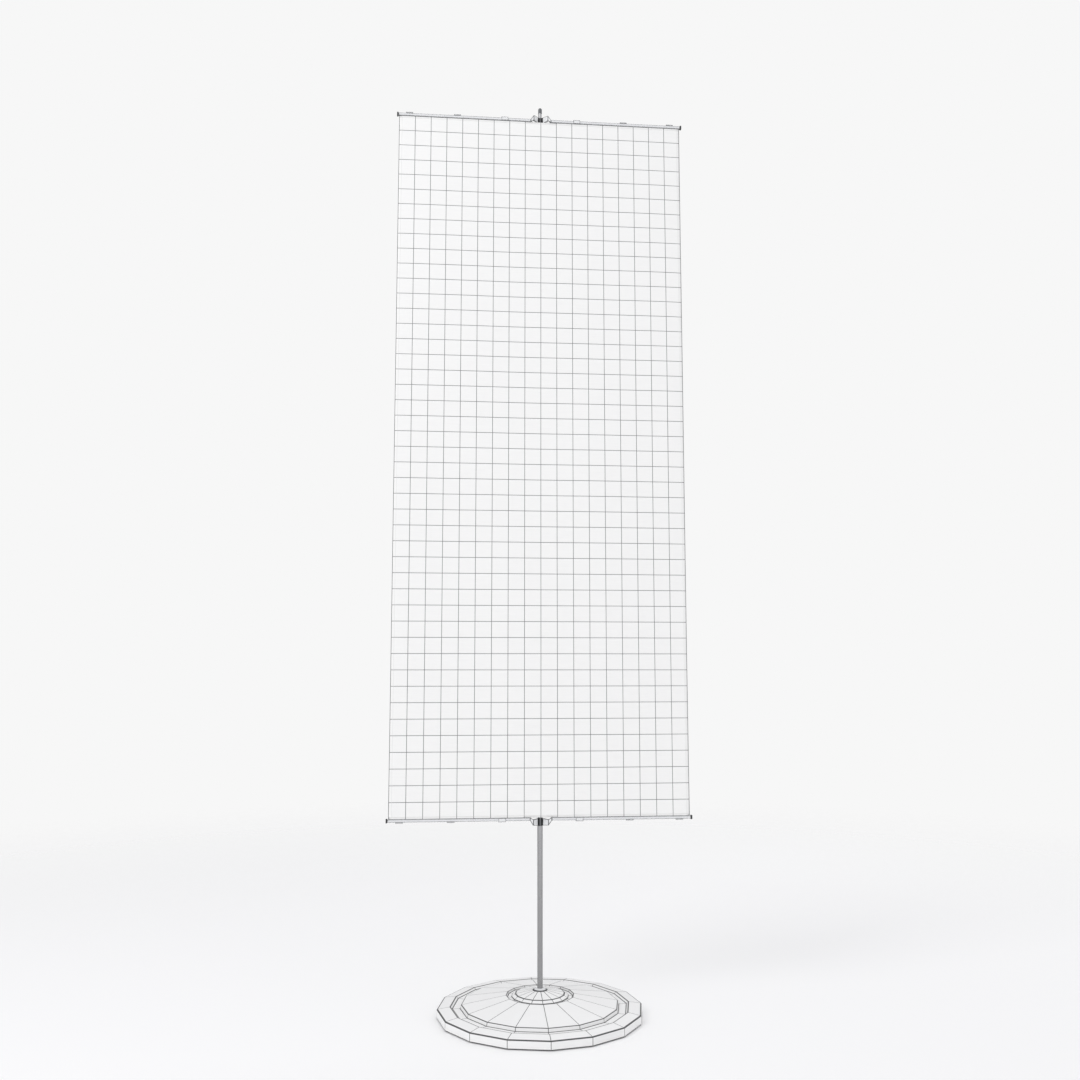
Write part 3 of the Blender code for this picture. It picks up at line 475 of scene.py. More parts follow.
# Painted shade: the grooves are darkened in the base colour.
shaded = add(
    tree,
    "Mix",
    {"data_type": "RGBA", 7: linear("3E3F40")},
    {0: groove_and_painted_shade.outputs["Result"], 6: tone.outputs[2]},
)
tree.links.new(shaded.outputs[2], shader.inputs["Base Color"])
rub = add(
    tree,
    "MapRange",
    {"From Min": 0.3, "From Max": 0.7, "To Min": 0.34, "To Max": 0.5},
    {"Value": cloud.outputs["Fac"]},
)
tree.links.new(rub.outputs["Result"], shader.inputs["Roughness"])
skin = add(tree, "Bump", {"Strength": 0.25, "Distance": 0.00015}, {"Height": grain.outputs["Fac"]})
sunk = add(
    tree,
    "Bump",
    {"Strength": 0.8, "Distance": 0.0008, "invert": True},
    {"Height": groove_and_painted_shade.outputs["Result"], "Normal": skin.outputs["Normal"]},
)
tree.links.new(sunk.outputs["Normal"], shader.inputs["Normal"])
print("grain", GRAIN_MM, "mm wide")

# %% [markdown]
# ## Anodised aluminium
#
# Pole and mast are drawn tubes, brushed lengthwise and anodised in a natural grey. The brushing leaves
# hair-fine lines along the tube, so a highlight spreads across it and stays narrow along it. A picture of
# brushed metal would repeat along a tube this long. A noise stretched a hundred times along it never does.

# %% Anodised tube
BRUSH_MM = 0.35  # the real lines are about 0.1 mm apart, drawn coarser so that they show
SMEAR_MM = 60
STRETCH = 0.01

anodised, tree, shader, place = started("anodised_aluminium_tube", "9A9A9B", 0.28)
shader.inputs["Metallic"].default_value = 1
shader.inputs["Anisotropic"].default_value = 0.35
stretch = add(tree, "Mapping", {"Scale": (1, 1, STRETCH)}, {"Vector": place})
brushed = add(tree, "TexNoise", {"Scale": per(BRUSH_MM), "Detail": 2}, {"Vector": stretch.outputs["Vector"]})
smears = add(tree, "TexNoise", {"Scale": per(SMEAR_MM), "Detail": 5}, {"Vector": place})
tone = add(
    tree,
    "Mix",
    {"data_type": "RGBA", 6: linear("A8A8A9"), 7: linear("8C8C8D")},
    {0: brushed.outputs["Fac"]},
)
tree.links.new(tone.outputs[2], shader.inputs["Base Color"])
rub = add(
    tree,
    "MapRange",
    {"From Min": 0.3, "From Max": 0.7, "To Min": 0.22, "To Max": 0.34},
    {"Value": smears.outputs["Fac"]},
)
tree.links.new(rub.outputs["Result"], shader.inputs["Roughness"])
skin = add(tree, "Bump", {"Strength": 0.2, "Distance": 0.0001}, {"Height": brushed.outputs["Fac"]})
tree.links.new(skin.outputs["Normal"], shader.inputs["Normal"])
print("brush lines", BRUSH_MM, "mm apart")

# %% [markdown]
# ## Pale grey powder coat
#
# The half rails are extruded aluminium, sprayed with pale grey powder and baked. The melted powder flows
# into a skin like orange peel, with dimples one or two millimetres wide and a semi-gloss shine. Along its
# corners a dark line of painted shade is drawn into the colour. That line could be painted on a texture for
# each rail, but one rule finds it on all of them: where the Bevel node's rounded normal leans away from the
# face's own, an edge is near.

# %% Powder-coated rail
PEEL_MM = 1.6
SCUFF_MM = 25
RAIL_EDGE_SHADE_MM = 3


def painted_edge_shade(nodes_of, millimetres):
    """1 along a piece's edges and 0 away from them, the mask for painted edge shade: where a rounded normal
    leans from the plain one.
    """
    rounded = add(nodes_of, "Bevel", {"samples": 8, "Radius": millimetres / 1000})
    plain = add(nodes_of, "NewGeometry")
    agree = add(
        nodes_of,
        "VectorMath",
        {"operation": "DOT_PRODUCT"},
        {0: rounded.outputs["Normal"], 1: plain.outputs["Normal"]},
    )
    painted_shade_line = add(
        nodes_of,
        "MapRange",
        {"From Min": 0.995, "From Max": 0.93, "To Min": 0, "To Max": 1},
        {"Value": agree.outputs["Value"]},
    )
    return painted_shade_line.outputs["Result"]


powder_grey, tree, shader, place = started("powder_coated_aluminium_grey", "E1E2E4", 0.34)
peel = add(tree, "TexNoise", {"Scale": per(PEEL_MM), "Detail": 1}, {"Vector": place})
scuffs = add(tree, "TexNoise", {"Scale": per(SCUFF_MM), "Detail": 6}, {"Vector": place})
tone = add(
    tree,
    "Mix",
    {"data_type": "RGBA", 6: linear("E6E7E8"), 7: linear("DCDDDF")},
    {0: scuffs.outputs["Fac"]},
)
# Painted shade: a dark line along the rail's edges.
edge_shaded = add(
    tree,
    "Mix",
    {"data_type": "RGBA", 7: linear("2E3031")},
    {0: painted_edge_shade(tree, RAIL_EDGE_SHADE_MM), 6: tone.outputs[2]},
)
tree.links.new(edge_shaded.outputs[2], shader.inputs["Base Color"])
rub = add(
    tree,
    "MapRange",
    {"From Min": 0.35, "From Max": 0.7, "To Min": 0.28, "To Max": 0.42},
    {"Value": scuffs.outputs["Fac"]},
)
tree.links.new(rub.outputs["Result"], shader.inputs["Roughness"])
skin = add(tree, "Bump", {"Strength": 0.3, "Distance": 0.0002}, {"Height": peel.outputs["Fac"]})
tree.links.new(skin.outputs["Normal"], shader.inputs["Normal"])
print("orange peel", PEEL_MM, "mm wide")

# %% [markdown]
# ## Nylon, dark, grey and pale
#
# Caps, knobs, brackets, collar and clips are injection-moulded nylon. Nylon is a little waxy: its gloss is
# soft and its skin shows the matt, eroded face of the mould. Each colour could be a recipe of its own, but
# only the colours differ, so one recipe makes them all. Grey and pale pieces have painted shade along their
# edges, and the collar has a dark band of painted shade round its rim, which its distance from the pole's
# axis gives.

# %% Moulded nylon
NYLON_IOR = 1.53
ERODED_MM = 0.5  # the real grain is about 0.1 mm, drawn coarser so that it shows
CLOUD_MM = 14
# Width and fade of the band of painted shade round the collar's rim.
RIM_SHADE_WIDTH = 0.0045
RIM_SHADE_FADE = 0.0005


def moulded_nylon(name, pale, deep, edge="", edge_shade_mm=0):
    """Nylon with a spark-eroded skin, clouded between two close colours. An edge colour paints shade along
    its edges.
    """
    material, nodes_of, principled, own = started(name, pale, 0.48)
    principled.inputs["IOR"].default_value = NYLON_IOR
    eroded = add(nodes_of, "TexNoise", {"Scale": per(ERODED_MM), "Detail": 3}, {"Vector": own})
    clouds = add(nodes_of, "TexNoise", {"Scale": per(CLOUD_MM), "Detail": 4}, {"Vector": own})
    mixed = add(
        nodes_of,
        "Mix",
        {"data_type": "RGBA", 6: linear(pale), 7: linear(deep)},
        {0: clouds.outputs["Fac"]},
    )
    # Painted shade: the edge colour darkens a band along the piece's edges.
    if edge:
        mixed = add(
            nodes_of,
            "Mix",
            {"data_type": "RGBA", 7: linear(edge)},
            {0: painted_edge_shade(nodes_of, edge_shade_mm), 6: mixed.outputs[2]},
        )
    nodes_of.links.new(mixed.outputs[2], principled.inputs["Base Color"])
    gloss = add(
        nodes_of,
        "MapRange",
        {"From Min": 0.3, "From Max": 0.7, "To Min": 0.4, "To Max": 0.58},
        {"Value": clouds.outputs["Fac"]},
    )
    nodes_of.links.new(gloss.outputs["Result"], principled.inputs["Roughness"])
    relief = add(nodes_of, "Bump", {"Strength": 0.35, "Distance": 0.0001}, {"Height": eroded.outputs["Fac"]})
    nodes_of.links.new(relief.outputs["Normal"], principled.inputs["Normal"])
    return material


nylon_dark = moulded_nylon("moulded_nylon_dark", "2A2B2D", "1D1E20")
nylon_grey = moulded_nylon("moulded_nylon_grey", "6C6E71", "5A5C5F", "232426", 1.6)
nylon_pale = moulded_nylon("moulded_nylon_pale", "EAEBEC", "E0E1E2", "2E3031", 3)

nylon_collar = moulded_nylon("moulded_nylon_collar", "E2E3E4", "D8D9DB")
tree = nylon_collar.node_tree
shader = tree.nodes["Principled BSDF"]
moulded = shader.inputs["Base Color"].links[0].from_socket
place = add(tree, "TexCoord").outputs["Object"]
level = add(tree, "VectorMath", {"operation": "MULTIPLY", 1: (1, 1, 0)}, {0: place})
reach = add(tree, "VectorMath", {"operation": "LENGTH"}, {0: level.outputs["Vector"]})
# Painted shade: a dark band round the outer rim of the collar.
painted_rim_shade = add(
    tree,
    "MapRange",
    {"From Min": collar_reach - RIM_SHADE_WIDTH - RIM_SHADE_FADE, "From Max": collar_reach - RIM_SHADE_WIDTH + RIM_SHADE_FADE},
    {"Value": reach.outputs["Value"]},
)
rim_shaded = add(
    tree, "Mix", {"data_type": "RGBA", 7: linear("3C3E40")}, {0: painted_rim_shade.outputs["Result"], 6: moulded}
)
tree.links.new(rim_shaded.outputs[2], shader.inputs["Base Color"])
print("four nylons")

# %% [markdown]
# ## The hidden metals and the feet
#
# The floor plate, spindle, screws and lock cone are zinc-plated steel: bright, with the blotched crystals
# of the plating. The ballast is cast iron under black enamel, which keeps the rough skin of its sand mould.
# The feet are black rubber, dull and slightly dusty. All three skins are patches of two close colours with
# a relief of the same size, so they share one recipe, and only its colours, sizes and gloss differ.

# %% Zinc, cast iron and rubber
GLOSS_RANGE = 0.07


def blotched(name, pale, deep, size_mm, roughness, metallic, depth):
    """A surface that wanders between two colours, with relief of the same size."""
    material, nodes_of, principled, own = started(name, pale, roughness)
    principled.inputs["Metallic"].default_value = metallic
    spots = add(nodes_of, "TexNoise", {"Scale": per(size_mm), "Detail": 5}, {"Vector": own})
    mixed = add(
        nodes_of,
        "Mix",
        {"data_type": "RGBA", 6: linear(pale), 7: linear(deep)},
        {0: spots.outputs["Fac"]},
    )
    nodes_of.links.new(mixed.outputs[2], principled.inputs["Base Color"])
    gloss = add(
        nodes_of,
        "MapRange",
        {
            "From Min": 0.3,
            "From Max": 0.7,
            "To Min": roughness - GLOSS_RANGE,
            "To Max": roughness + GLOSS_RANGE,
        },
        {"Value": spots.outputs["Fac"]},
    )
    nodes_of.links.new(gloss.outputs["Result"], principled.inputs["Roughness"])
    relief = add(nodes_of, "Bump", {"Strength": 0.4, "Distance": depth}, {"Height": spots.outputs["Fac"]})
    nodes_of.links.new(relief.outputs["Normal"], principled.inputs["Normal"])
    return material


zinc = blotched("zinc_plated_steel", "C2C4C6", "9B9EA2", 6, 0.34, 1, 0.0001)
iron = blotched("enamelled_cast_iron", "2E2F30", "1C1D1E", 3, 0.55, 0, 0.0006)
rubber = blotched("moulded_black_rubber", "202021", "131314", 4, 0.75, 0, 0.0002)
print("three workshop surfaces")

# %% [markdown]
# ## Woven polyester
#
# The banner is white polyester flag cloth. Its plain weave is drawn by the product of two waves, one along
# each thread direction. A fine grey marker thread is woven in at regular steps both ways, which makes
# a grid of nearly square cells over the whole cloth. The hems are held by a lockstitch, so the needle's
# dashes run along every edge. Sheen gives the soft light that loose fibres catch at a flat angle. A cloth
# picture could be wrapped on instead, but drawn from the cloth's own measures every thread and stitch
# falls in its place.

# %% Banner cloth
COLUMNS = 18
ROWS = 45
WEAVE_MM = 1.2  # real threads are about 0.3 mm apart, drawn coarser so that they show
THREAD_HALF = 0.0007
THREAD_FADE = 0.3
POLYESTER_IOR = 1.5

low_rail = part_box("bottom_rail_left")[1].z
high_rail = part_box("top_rail_left")[0].z
cloth_low, cloth_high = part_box("banner")
cloth_width = cloth_high.x - cloth_low.x
cloth_y = (cloth_low.y + cloth_high.y) / 2
cloth_height = high_rail - low_rail

cloth_white, tree, shader, place = started("woven_polyester_white", "F6F6F5", 0.82)
shader.inputs["IOR"].default_value = POLYESTER_IOR
shader.inputs["Sheen Weight"].default_value = 0.2
shader.inputs["Sheen Roughness"].default_value = 0.5
axes = add(tree, "SeparateXYZ", links={0: place})
waves = {}
lines = {}
for way, pitch, start in (
    ("X", (cloth_width - 2 * THREAD_HALF) / COLUMNS, 0),
    ("Z", cloth_height / ROWS, low_rail),
):
    moved = add(tree, "Math", {"operation": "SUBTRACT", 1: start}, {0: axes.outputs[way]})
    steps = add(tree, "Math", {"operation": "DIVIDE", 1: pitch}, {0: moved.outputs[0]})
    aside = add(tree, "Math", {"operation": "PINGPONG", 1: 0.5}, {0: steps.outputs[0]})
    far = add(tree, "Math", {"operation": "MULTIPLY", 1: pitch}, {0: aside.outputs[0]})
    lines[way] = add(
        tree,
        "MapRange",
        {
            "From Min": THREAD_HALF * (1 - THREAD_FADE),
            "From Max": THREAD_HALF * (1 + THREAD_FADE),
            "To Min": 1,
            "To Max": 0,
        },
        {"Value": far.outputs[0]},
    ).outputs["Result"]
    phase = add(tree, "Math", {"operation": "MULTIPLY", 1: pi * per(WEAVE_MM)}, {0: axes.outputs[way]})
    waves[way] = add(tree, "Math", {"operation": "SINE"}, {0: phase.outputs[0]}).outputs[0]
grid = add(tree, "Math", {"operation": "MAXIMUM"}, {0: lines["X"], 1: lines["Z"]})
weave = add(tree, "Math", {"operation": "MULTIPLY"}, {0: waves["X"], 1: waves["Z"]})
print("grid", round(1000 * cloth_width / COLUMNS, 1), "by", round(1000 * cloth_height / ROWS, 1), "mm")

# %% [markdown]
# ## Seams and yarn
#
# A lockstitch runs along each hem, with thread a shade darker than the cloth. Real stitches could be
# modelled one by one, but there are thousands and each is a fraction of a millimetre high. So a seam is
# a narrow band at a fixed distance from the edge, cut into dashes along its length. The yarn is uneven:
# long, faint slubs run across the cloth.

# %% Seams and yarn of the cloth
STITCH_MM = 3.5
SEAM_CORE = 0.0002
SEAM_HALF = 0.0004
SIDE_SEAM = 0.0085
EDGE_SEAM = 0.0055
SLUB_MM = 40
SLUB_LENGTH = 40  # how many times longer than high a slub is
FIBRE_MM = 220

seams = []
for way, along, middle, half, inset in (
    ("X", "Z", 0, cloth_width / 2, SIDE_SEAM),
    ("Z", "X", (low_rail + high_rail) / 2, cloth_height / 2, EDGE_SEAM),
):
    moved = add(tree, "Math", {"operation": "SUBTRACT", 1: middle}, {0: axes.outputs[way]})
    out = add(tree, "Math", {"operation": "ABSOLUTE"}, {0: moved.outputs[0]})
    off = add(tree, "Math", {"operation": "SUBTRACT", 1: half - inset}, {0: out.outputs[0]})
    gap = add(tree, "Math", {"operation": "ABSOLUTE"}, {0: off.outputs[0]})
    seam = add(
        tree,
        "MapRange",
        {"From Min": SEAM_CORE, "From Max": SEAM_HALF, "To Min": 1, "To Max": 0},
        {"Value": gap.outputs[0]},
    )
    steps = add(tree, "Math", {"operation": "MULTIPLY", 1: per(STITCH_MM)}, {0: axes.outputs[along]})
    dash = add(tree, "Math", {"operation": "PINGPONG", 1: 0.5}, {0: steps.outputs[0]})
    held = add(
        tree,
        "MapRange",
        {"From Min": 0.36, "From Max": 0.44, "To Min": 1, "To Max": 0},
        {"Value": dash.outputs[0]},
    )
    seams.append(
        add(tree, "Math", {"operation": "MULTIPLY"}, {0: seam.outputs["Result"], 1: held.outputs["Result"]})
    )
stitches = add(tree, "Math", {"operation": "MAXIMUM"}, {0: seams[0].outputs[0], 1: seams[1].outputs[0]})
yarn = add(tree, "Mapping", {"Scale": (1, 1, SLUB_LENGTH)}, {"Vector": place})
slubs = add(tree, "TexNoise", {"Scale": per(SLUB_MM), "Detail": 6}, {"Vector": yarn.outputs["Vector"]})
cloud = add(tree, "TexNoise", {"Scale": per(FIBRE_MM), "Detail": 3}, {"Vector": place})
tone = add(
    tree,
    "Mix",
    {"data_type": "RGBA", 6: linear("F9F9F8"), 7: linear("F0F0EF")},
    {0: slubs.outputs["Fac"]},
)
gridded = add(
    tree, "Mix", {"data_type": "RGBA", 7: linear("4C4F52")}, {0: grid.outputs[0], 6: tone.outputs[2]}
)
sewn = add(
    tree, "Mix", {"data_type": "RGBA", 7: linear("DADAD8")}, {0: stitches.outputs[0], 6: gridded.outputs[2]}
)
tree.links.new(sewn.outputs[2], shader.inputs["Base Color"])
rub = add(
    tree,
    "MapRange",
    {"From Min": 0.3, "From Max": 0.7, "To Min": 0.76, "To Max": 0.9},
    {"Value": cloud.outputs["Fac"]},
)
tree.links.new(rub.outputs["Result"], shader.inputs["Roughness"])
relief = add(tree, "Bump", {"Strength": 0.35, "Distance": 0.00015}, {"Height": weave.outputs[0]})
raised = add(
    tree,
    "Bump",
    {"Strength": 0.7, "Distance": 0.0003},
    {"Height": stitches.outputs[0], "Normal": relief.outputs["Normal"]},
)
tree.links.new(raised.outputs["Normal"], shader.inputs["Normal"])
print("stitches", STITCH_MM, "mm long")

# %% [markdown]
# ## The base
#
# A thin moulded cover hides an iron disc on a steel floor plate. From outside in, the cover has a low side,
# a rim that slopes gently up, a ring-shaped groove, a shallow dome and a round recess with the hub in it.
# Bevelling the CAD mesh would leave its long thin faces in place. Spinning the softened section in sixteen
# steps gives all of it at once, with clean faces, and the sixteen ridges are softened afterwards.

# %% Cover, hub and feet
base_pieces = [
    spun("cover_shell", "base_cover", abs_white, "base", corner=0.0016, sides=SECTORS, ridge=0.0012),
    spun("hub_shell", "hub_cap", abs_white, "base", corner=0.0009, sides=SECTORS, ridge=0.0006),
]
for number in range(1, 7):
    name = f"foot_pad_{number}"
    foot = spun(name, f"rubber_foot_{number}", rubber, "base", corner=0.0005, sides=48)
    base_pieces.append(foot)
print([made.name for made in base_pieces])

# %% [markdown]
# ## The tubes
#
# The pole is a drawn tube cut square, and the thinner mast slides in it. The collar covers the gap where
# the pole enters the hub, and a moulded cap closes the mast's top. A plain cylinder would do for the tubes,
# but their section is read off the CAD solid all the same, so that wall, length and ends stay exact.
# Ninety-six steps make them look round close up.

# %% Pole, collar and mast
pole_pieces = [
    spun("pole_tube", "lower_pole", anodised, "pole", corner=0.00025, sides=96),
    spun("collar_ring", "pole_collar", nylon_collar, "pole", corner=0.0006, sides=96),
    spun("mast_shaft", "mast_tube", anodised, "mast", corner=0.0002, sides=96),
    spun("mast_dome", "mast_cap", nylon_grey, "mast", corner=0.0004, sides=64),
]
print([made.name for made in pole_pieces])

# %% [markdown]
# ## The rails
#
# Each rail is two slotted aluminium extrusions that meet at the bracket. A moulded cap closes each outer
# end, and three clips snap over each half to keep the cloth's bead in its slot. These parts are right as
# drawn, so they aren't made again: only their corners are broken, by a fifth of a millimetre on the
# metal and up to twice that on the mouldings.

# %% Rails, end caps and clips
RAIL_CORNER = 0.0002
CAP_CORNER = 0.0004
CLIP_CORNER = 0.00025

for label in ("top", "bottom"):
    for side in ("left", "right"):
        bevelled(
            f"{label}_half_rail_{side}",
            f"{label}_rail_{side}",
            powder_grey,
            "mast",
            RAIL_CORNER,
        )
        bevelled(
            f"{label}_rail_end_{side}",
            f"{label}_end_cap_{side}",
            nylon_dark,
            "mast",
            CAP_CORNER,
            segments=3,
        )
        for number in (1, 2, 3):
            bevelled(
                f"{label}_snap_clip_{side}_{number}",
                f"{label}_clip_{side}_{number}",
                nylon_pale,
                "mast",
                CLIP_CORNER,
            )
print("rails, ends and clips")

# %% [markdown]
# ## The brackets
#
# A bracket is one moulding of two nylons: a dark sleeve round the mast with a boss for the clamp screw
# behind it, and two pale ears that hold the half rails. Its outside is full of corners that meet at odd
# angles, where a bevel would tear. Turning it into voxels and relaxing their skin rounds every corner
# alike, as a mould does. Each small face then gets its nylon from its place: dark on the sleeve, dark within
# a line's width of a crease as painted shade, and grey on a narrow stripe down the sleeve's front as a
# painted highlight.

# %% Round a moulding's corners and find its creases
VOXEL = 0.0004
CREASE = radians(38)


def relaxed(node):
    """A CAD piece's mesh as fine voxels with a relaxed skin, which rounds all its corners alike."""
    rough = bpy.data.objects.new("rough", bpy.data.meshes.new("rough"))
    bm = merged(node)
    bm.to_mesh(rough.data)
    bm.free()
    bpy.context.scene.collection.objects.link(rough)
    voxels = rough.modifiers.new("voxels", "REMESH")
    voxels.mode = "VOXEL"
    voxels.voxel_size = VOXEL
    relax = rough.modifiers.new("relax", "SMOOTH")
    relax.iterations = 5
    relax.factor = 0.5
    shape = bpy.data.meshes.new_from_object(rough.evaluated_get(bpy.context.evaluated_depsgraph_get()))
    bpy.data.objects.remove(rough)
    bm = bmesh.new()
    bm.from_mesh(shape)
    return bm


def crease_finder(node):
    """Points along a CAD piece's sharp corners, sorted so that the nearest one is found quickly."""
    cad = merged(node)
    bmesh.ops.dissolve_limit(cad, angle_limit=FLAT, verts=cad.verts, edges=cad.edges)
    spots = []
    for edge in cad.edges:
        if edge.is_manifold and edge.calc_face_angle() > CREASE:
            start, end = (v.co for v in edge.verts)
            count = max(1, round((end - start).length / VOXEL))
            spots += [start.lerp(end, step / count) for step in range(count + 1)]
    cad.free()
    finder = KDTree(len(spots))
    for index, spot in enumerate(spots):
        finder.insert(spot, index)
    finder.balance()
    return finder


print("voxels", VOXEL * 1000, "mm wide")

# %% Brackets
SLEEVE_REACH = 0.0077
BOSS_REACH = 0.0058
PAINTED_HIGHLIGHT_HALF = 0.0018
CREASE_SHADE_WIDTH = 0.0012
PALE, DARK, GREY_HIGHLIGHT = range(3)

for label in ("top", "bottom"):
    creases = crease_finder(f"{label}_bracket")
    bm = relaxed(f"{label}_bracket")
    for face in bm.faces:
        middle = face.calc_center_median()
        x, y, _ = middle
        sleeve = hypot(x, y) < SLEEVE_REACH or (y > 0 and abs(x) < BOSS_REACH)
        front = y < 0 and abs(x) < SLEEVE_REACH
        # Painted highlight: a grey stripe down the front of the dark sleeve.
        painted_highlight = front and abs(x) < PAINTED_HIGHLIGHT_HALF
        # Painted shade: faces within a line's width of a crease are dark.
        painted_shade_line = creases.find(middle)[2] < CREASE_SHADE_WIDTH
        face.material_index = GREY_HIGHLIGHT if painted_highlight else DARK if sleeve or front or painted_shade_line else PALE
    made = piece(
        f"{label}_rail_carrier",
        bm,
        [nylon_pale, nylon_dark, nylon_grey],
        "mast",
        [f"{label}_bracket"],
    )
    print(made.name, len(made.data.polygons), "faces")

# %% [markdown]
# ## The clamp knobs
#
# A small nylon knob behind each bracket tightens its clamp by hand, and six shallow lobes give the
# fingers a grip. The lobes could be cut out of a disc, but cuts leave hard corners. Here each ring of the
# knob is a circle that dips in a smooth wave six times round, and the rings are stacked from the neck to
# the slightly dished face.

# %% Clamp knobs
LOBES = 6
LOBE_DEPTH = 0.0011
KNOB_SIDES = 96
KNOB_RINGS = [  # each ring's share of the knob's radius, and of its length from the bracket
    (0.30, 0.0),
    (0.86, 0.0),
    (0.97, 0.06),
    (1.0, 0.16),
    (1.0, 0.82),
    (0.97, 0.92),
    (0.9, 0.98),
    (0.8, 1.0),
    (0.5, 0.95),
    (0.0, 0.9),
]

for label in ("top", "bottom"):
    low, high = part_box(f"{label}_knob")
    reach = (high.x - low.x) / 2
    height = (low.z + high.z) / 2
    length = high.y - low.y
    bm = bmesh.new()
    rings = []
    for share, along in KNOB_RINGS:
        ring = []
        for step in range(KNOB_SIDES):
            turn = 2 * pi * step / KNOB_SIDES
            dip = LOBE_DEPTH * (1 - cos(LOBES * turn)) / 2 * min(1, share * 1.2)
            out = max(reach * share - dip, 0)
            ring.append(bm.verts.new((out * cos(turn), low.y + length * along, height + out * sin(turn))))
        rings.append(ring)
    for ring, following in zip(rings, rings[1:]):
        for index in range(KNOB_SIDES):
            bm.faces.new((ring[index], ring[index - 1], following[index - 1], following[index]))
    bm.faces.new(rings[0])
    bmesh.ops.remove_doubles(bm, verts=bm.verts, dist=JOIN)
    made = piece(f"{label}_clamp_knob", bm, [nylon_dark], f"{label}_clamp", [f"{label}_knob"])
    print(made.name, LOBES, "lobes")

# %% [markdown]
# ## The banner
#
# The cloth hangs taut between the rails. Taut cloth is never quite flat: it swings a millimetre or so
# between its tension lines and its free edges curl back a little. A cloth simulation could find that shape,
# but a panel held along both ends hardly moves, so a few slow waves that fade out at the rails do as well
# and are the same each time. A dense grid of faces carries them, and Solidify gives the cloth's thickness.

# %% Cloth panel
ACROSS = 108
UP = 260
CLOTH_THICKNESS = 0.0004
EDGE_GAP = 0.0005
SWELL = 0.0011
RIPPLE = 0.0006
SAG = 0.0007
EDGE_CURL = 0.0022


def billow(x, z):
    """How far the taut cloth stands in front of its own plane: slow waves that fade out at the rails."""
    t = (z - low_rail) / cloth_height
    free = sin(pi * min(max(t, 0), 1)) ** 0.6
    edge = (abs(x) / (cloth_width / 2)) ** 12
    waves = SWELL * sin(9.5 * x + 1.1 * sin(2.2 * z + 0.7)) + RIPPLE * sin(21 * x + 3.1 * z)
    sag = SAG * sin(2.6 * z + 5 * x)
    return free * (waves + sag - EDGE_CURL * edge)


cloth_bottom = low_rail + EDGE_GAP
cloth_top = high_rail - EDGE_GAP
bm = bmesh.new()
grid_rows = []
for row in range(UP + 1):
    z = cloth_bottom + (cloth_top - cloth_bottom) * row / UP
    xs = [cloth_low.x + cloth_width * column / ACROSS for column in range(ACROSS + 1)]
    grid_rows.append([bm.verts.new((x, cloth_y - billow(x, z), z)) for x in xs])
for row, above in zip(grid_rows, grid_rows[1:]):
    for column in range(ACROSS):
        bm.faces.new((row[column], row[column + 1], above[column + 1], above[column]))
cloth = piece("banner_cloth", bm, [cloth_white], "mast", ["banner"])
thick = cloth.modifiers.new("cloth", "SOLIDIFY")
thick.thickness = CLOTH_THICKNESS
thick.offset = 0
print("cloth", round(cloth_width, 3), "by", round(cloth_top - cloth_bottom, 3), "m")

# %% [markdown]
# ## Hems and beads
#
# The cloth's sides are folded back and sewn down. Its top and bottom are wrapped round a cord, and that
# bead slides into the rails' slots and can't pull out. Both could be folded out of the cloth's own mesh,
# but each is a small closed section carried along an edge, which is easier to keep free of the rails.

# %% Side hems
HEM_WIDTH = 0.011
HEM_SECTION = (  # distance in from the cloth's edge, and distance behind the cloth
    (0, 0.0001),
    (0, 0.0006),
    (0.0008, 0.0007),
    (HEM_WIDTH / 2, 0.00062),
    (HEM_WIDTH, 0.00055),
    (HEM_WIDTH, 0.0001),
)

for side, sign in (("left", -1), ("right", 1)):
    bm = bmesh.new()
    rows = []
    for row in range(UP + 1):
        z = cloth_bottom + (cloth_top - cloth_bottom) * row / UP
        ring = []
        for inset, lift in HEM_SECTION:
            x = sign * (cloth_width / 2 - inset)
            ring.append(bm.verts.new((x, cloth_y - billow(x, z) + lift, z)))
        rows.append(ring)
    for row, above in zip(rows, rows[1:]):
        for index in range(len(row)):
            bm.faces.new((row[index - 1], row[index], above[index], above[index - 1]))
    bm.faces.new(rows[0])
    bm.faces.new(rows[-1])
    piece(f"side_hem_{side}", bm, [cloth_white], "mast")

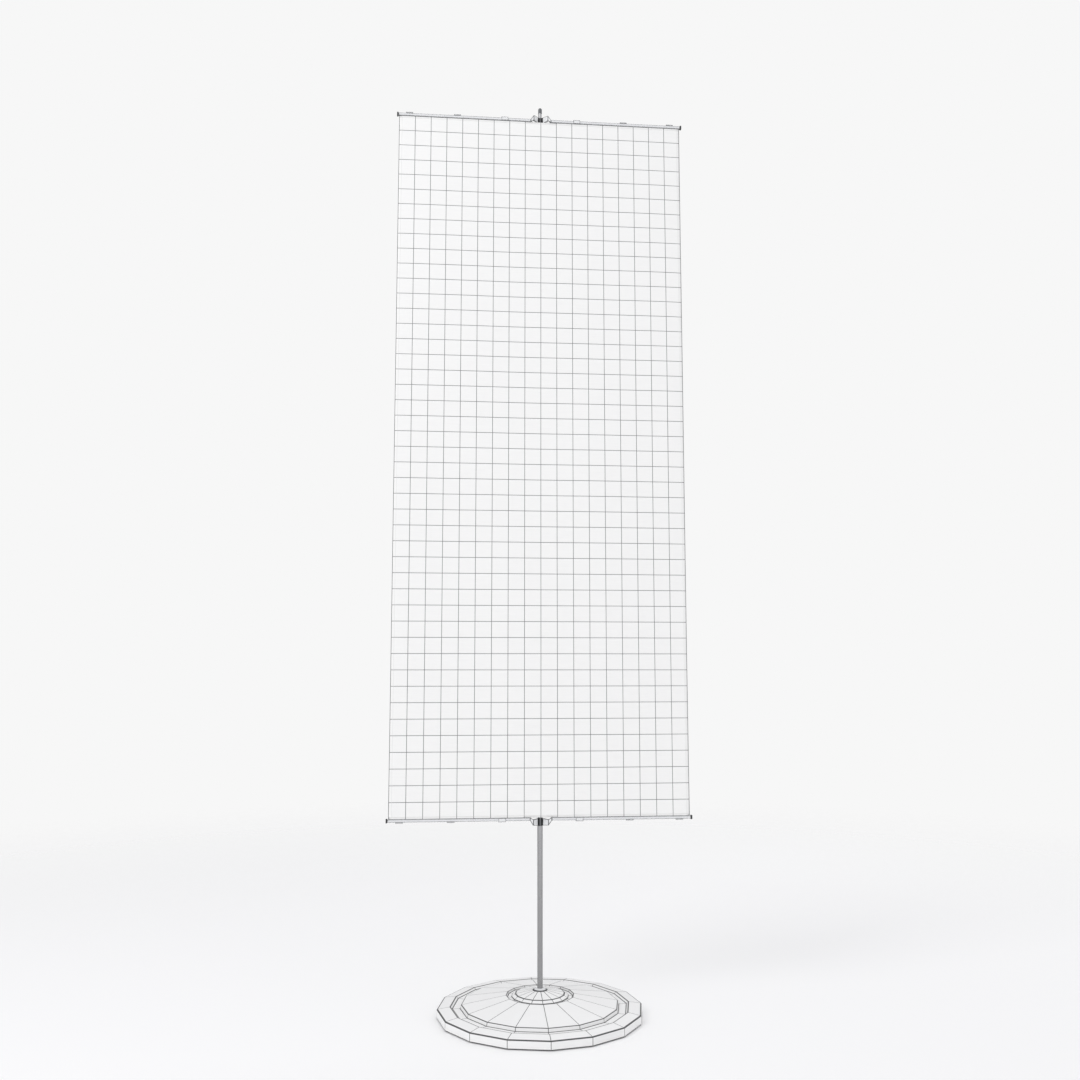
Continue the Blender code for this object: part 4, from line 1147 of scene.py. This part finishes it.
# %% Beaded hems in the rails
BEAD_ARCS = 20
BEAD_RADIUS = 0.0016
BEAD_MOUTH = 0.25  # half the angle, in radians, where the cloth enters the bead
BEAD_TAIL = 0.004
END_SPACE = 0.0085

bead_centre = cloth_high.z - high_rail - BEAD_RADIUS
for label, edge, up in (("top", high_rail, 1), ("bottom", low_rail, -1)):
    for side, sign in (("left", -1), ("right", 1)):
        low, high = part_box(f"{label}_rail_{side}")
        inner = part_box(f"{label}_bracket")
        start = (inner[1].x if sign > 0 else -inner[0].x) + EDGE_GAP
        end = max(abs(low.x), abs(high.x)) - END_SPACE
        outline = [(-CLOTH_THICKNESS, -BEAD_TAIL), (CLOTH_THICKNESS, -BEAD_TAIL)]
        for step in range(BEAD_ARCS + 1):
            turn = -pi / 2 + BEAD_MOUTH + 2 * (pi - BEAD_MOUTH) * step / BEAD_ARCS
            outline.append((BEAD_RADIUS * cos(turn), bead_centre + BEAD_RADIUS * sin(turn)))
        bm = bmesh.new()
        ends = []
        for x in (sign * start, sign * end):
            ends.append([bm.verts.new((x, cloth_y + across, edge + up * away)) for across, away in outline])
        for index in range(len(outline)):
            bm.faces.new((ends[0][index], ends[0][index - 1], ends[1][index - 1], ends[1][index]))
        bm.faces.new(ends[0])
        bm.faces.new(ends[1])
        piece(f"{label}_bead_{side}", bm, [cloth_white], "mast")

# %% [markdown]
# ## The parts inside
#
# Floor plate, ballast, spindle, bushes, screws and lock are out of sight until the stand is taken apart.
# They could be made again with soft corners too, but their CAD solids are good enough for what is seen of
# them. Each keeps its place and only gets the surface of its own material.

# %% Surfaces of the carried-over parts
SCREWS = [f"cover_screw_{number}" for number in (1, 2, 3)] + ["top_knob_screw", "bottom_knob_screw"]
INSIDE = {
    zinc: ["floor_plate", "spindle", "spindle_bolt", "lock_cone", "mast_plug", *SCREWS],
    iron: ["ballast_disc"],
    nylon_pale: ["thrust_washer", "lower_bush", "upper_bush", "lock_sleeve"],
    nylon_dark: ["mast_guide"],
}
for material, names in INSIDE.items():
    for name in names:
        nodes[name].data.materials.clear()
        nodes[name].data.materials.append(material)
print(sum(len(names) for names in INSIDE.values()), "inner parts")
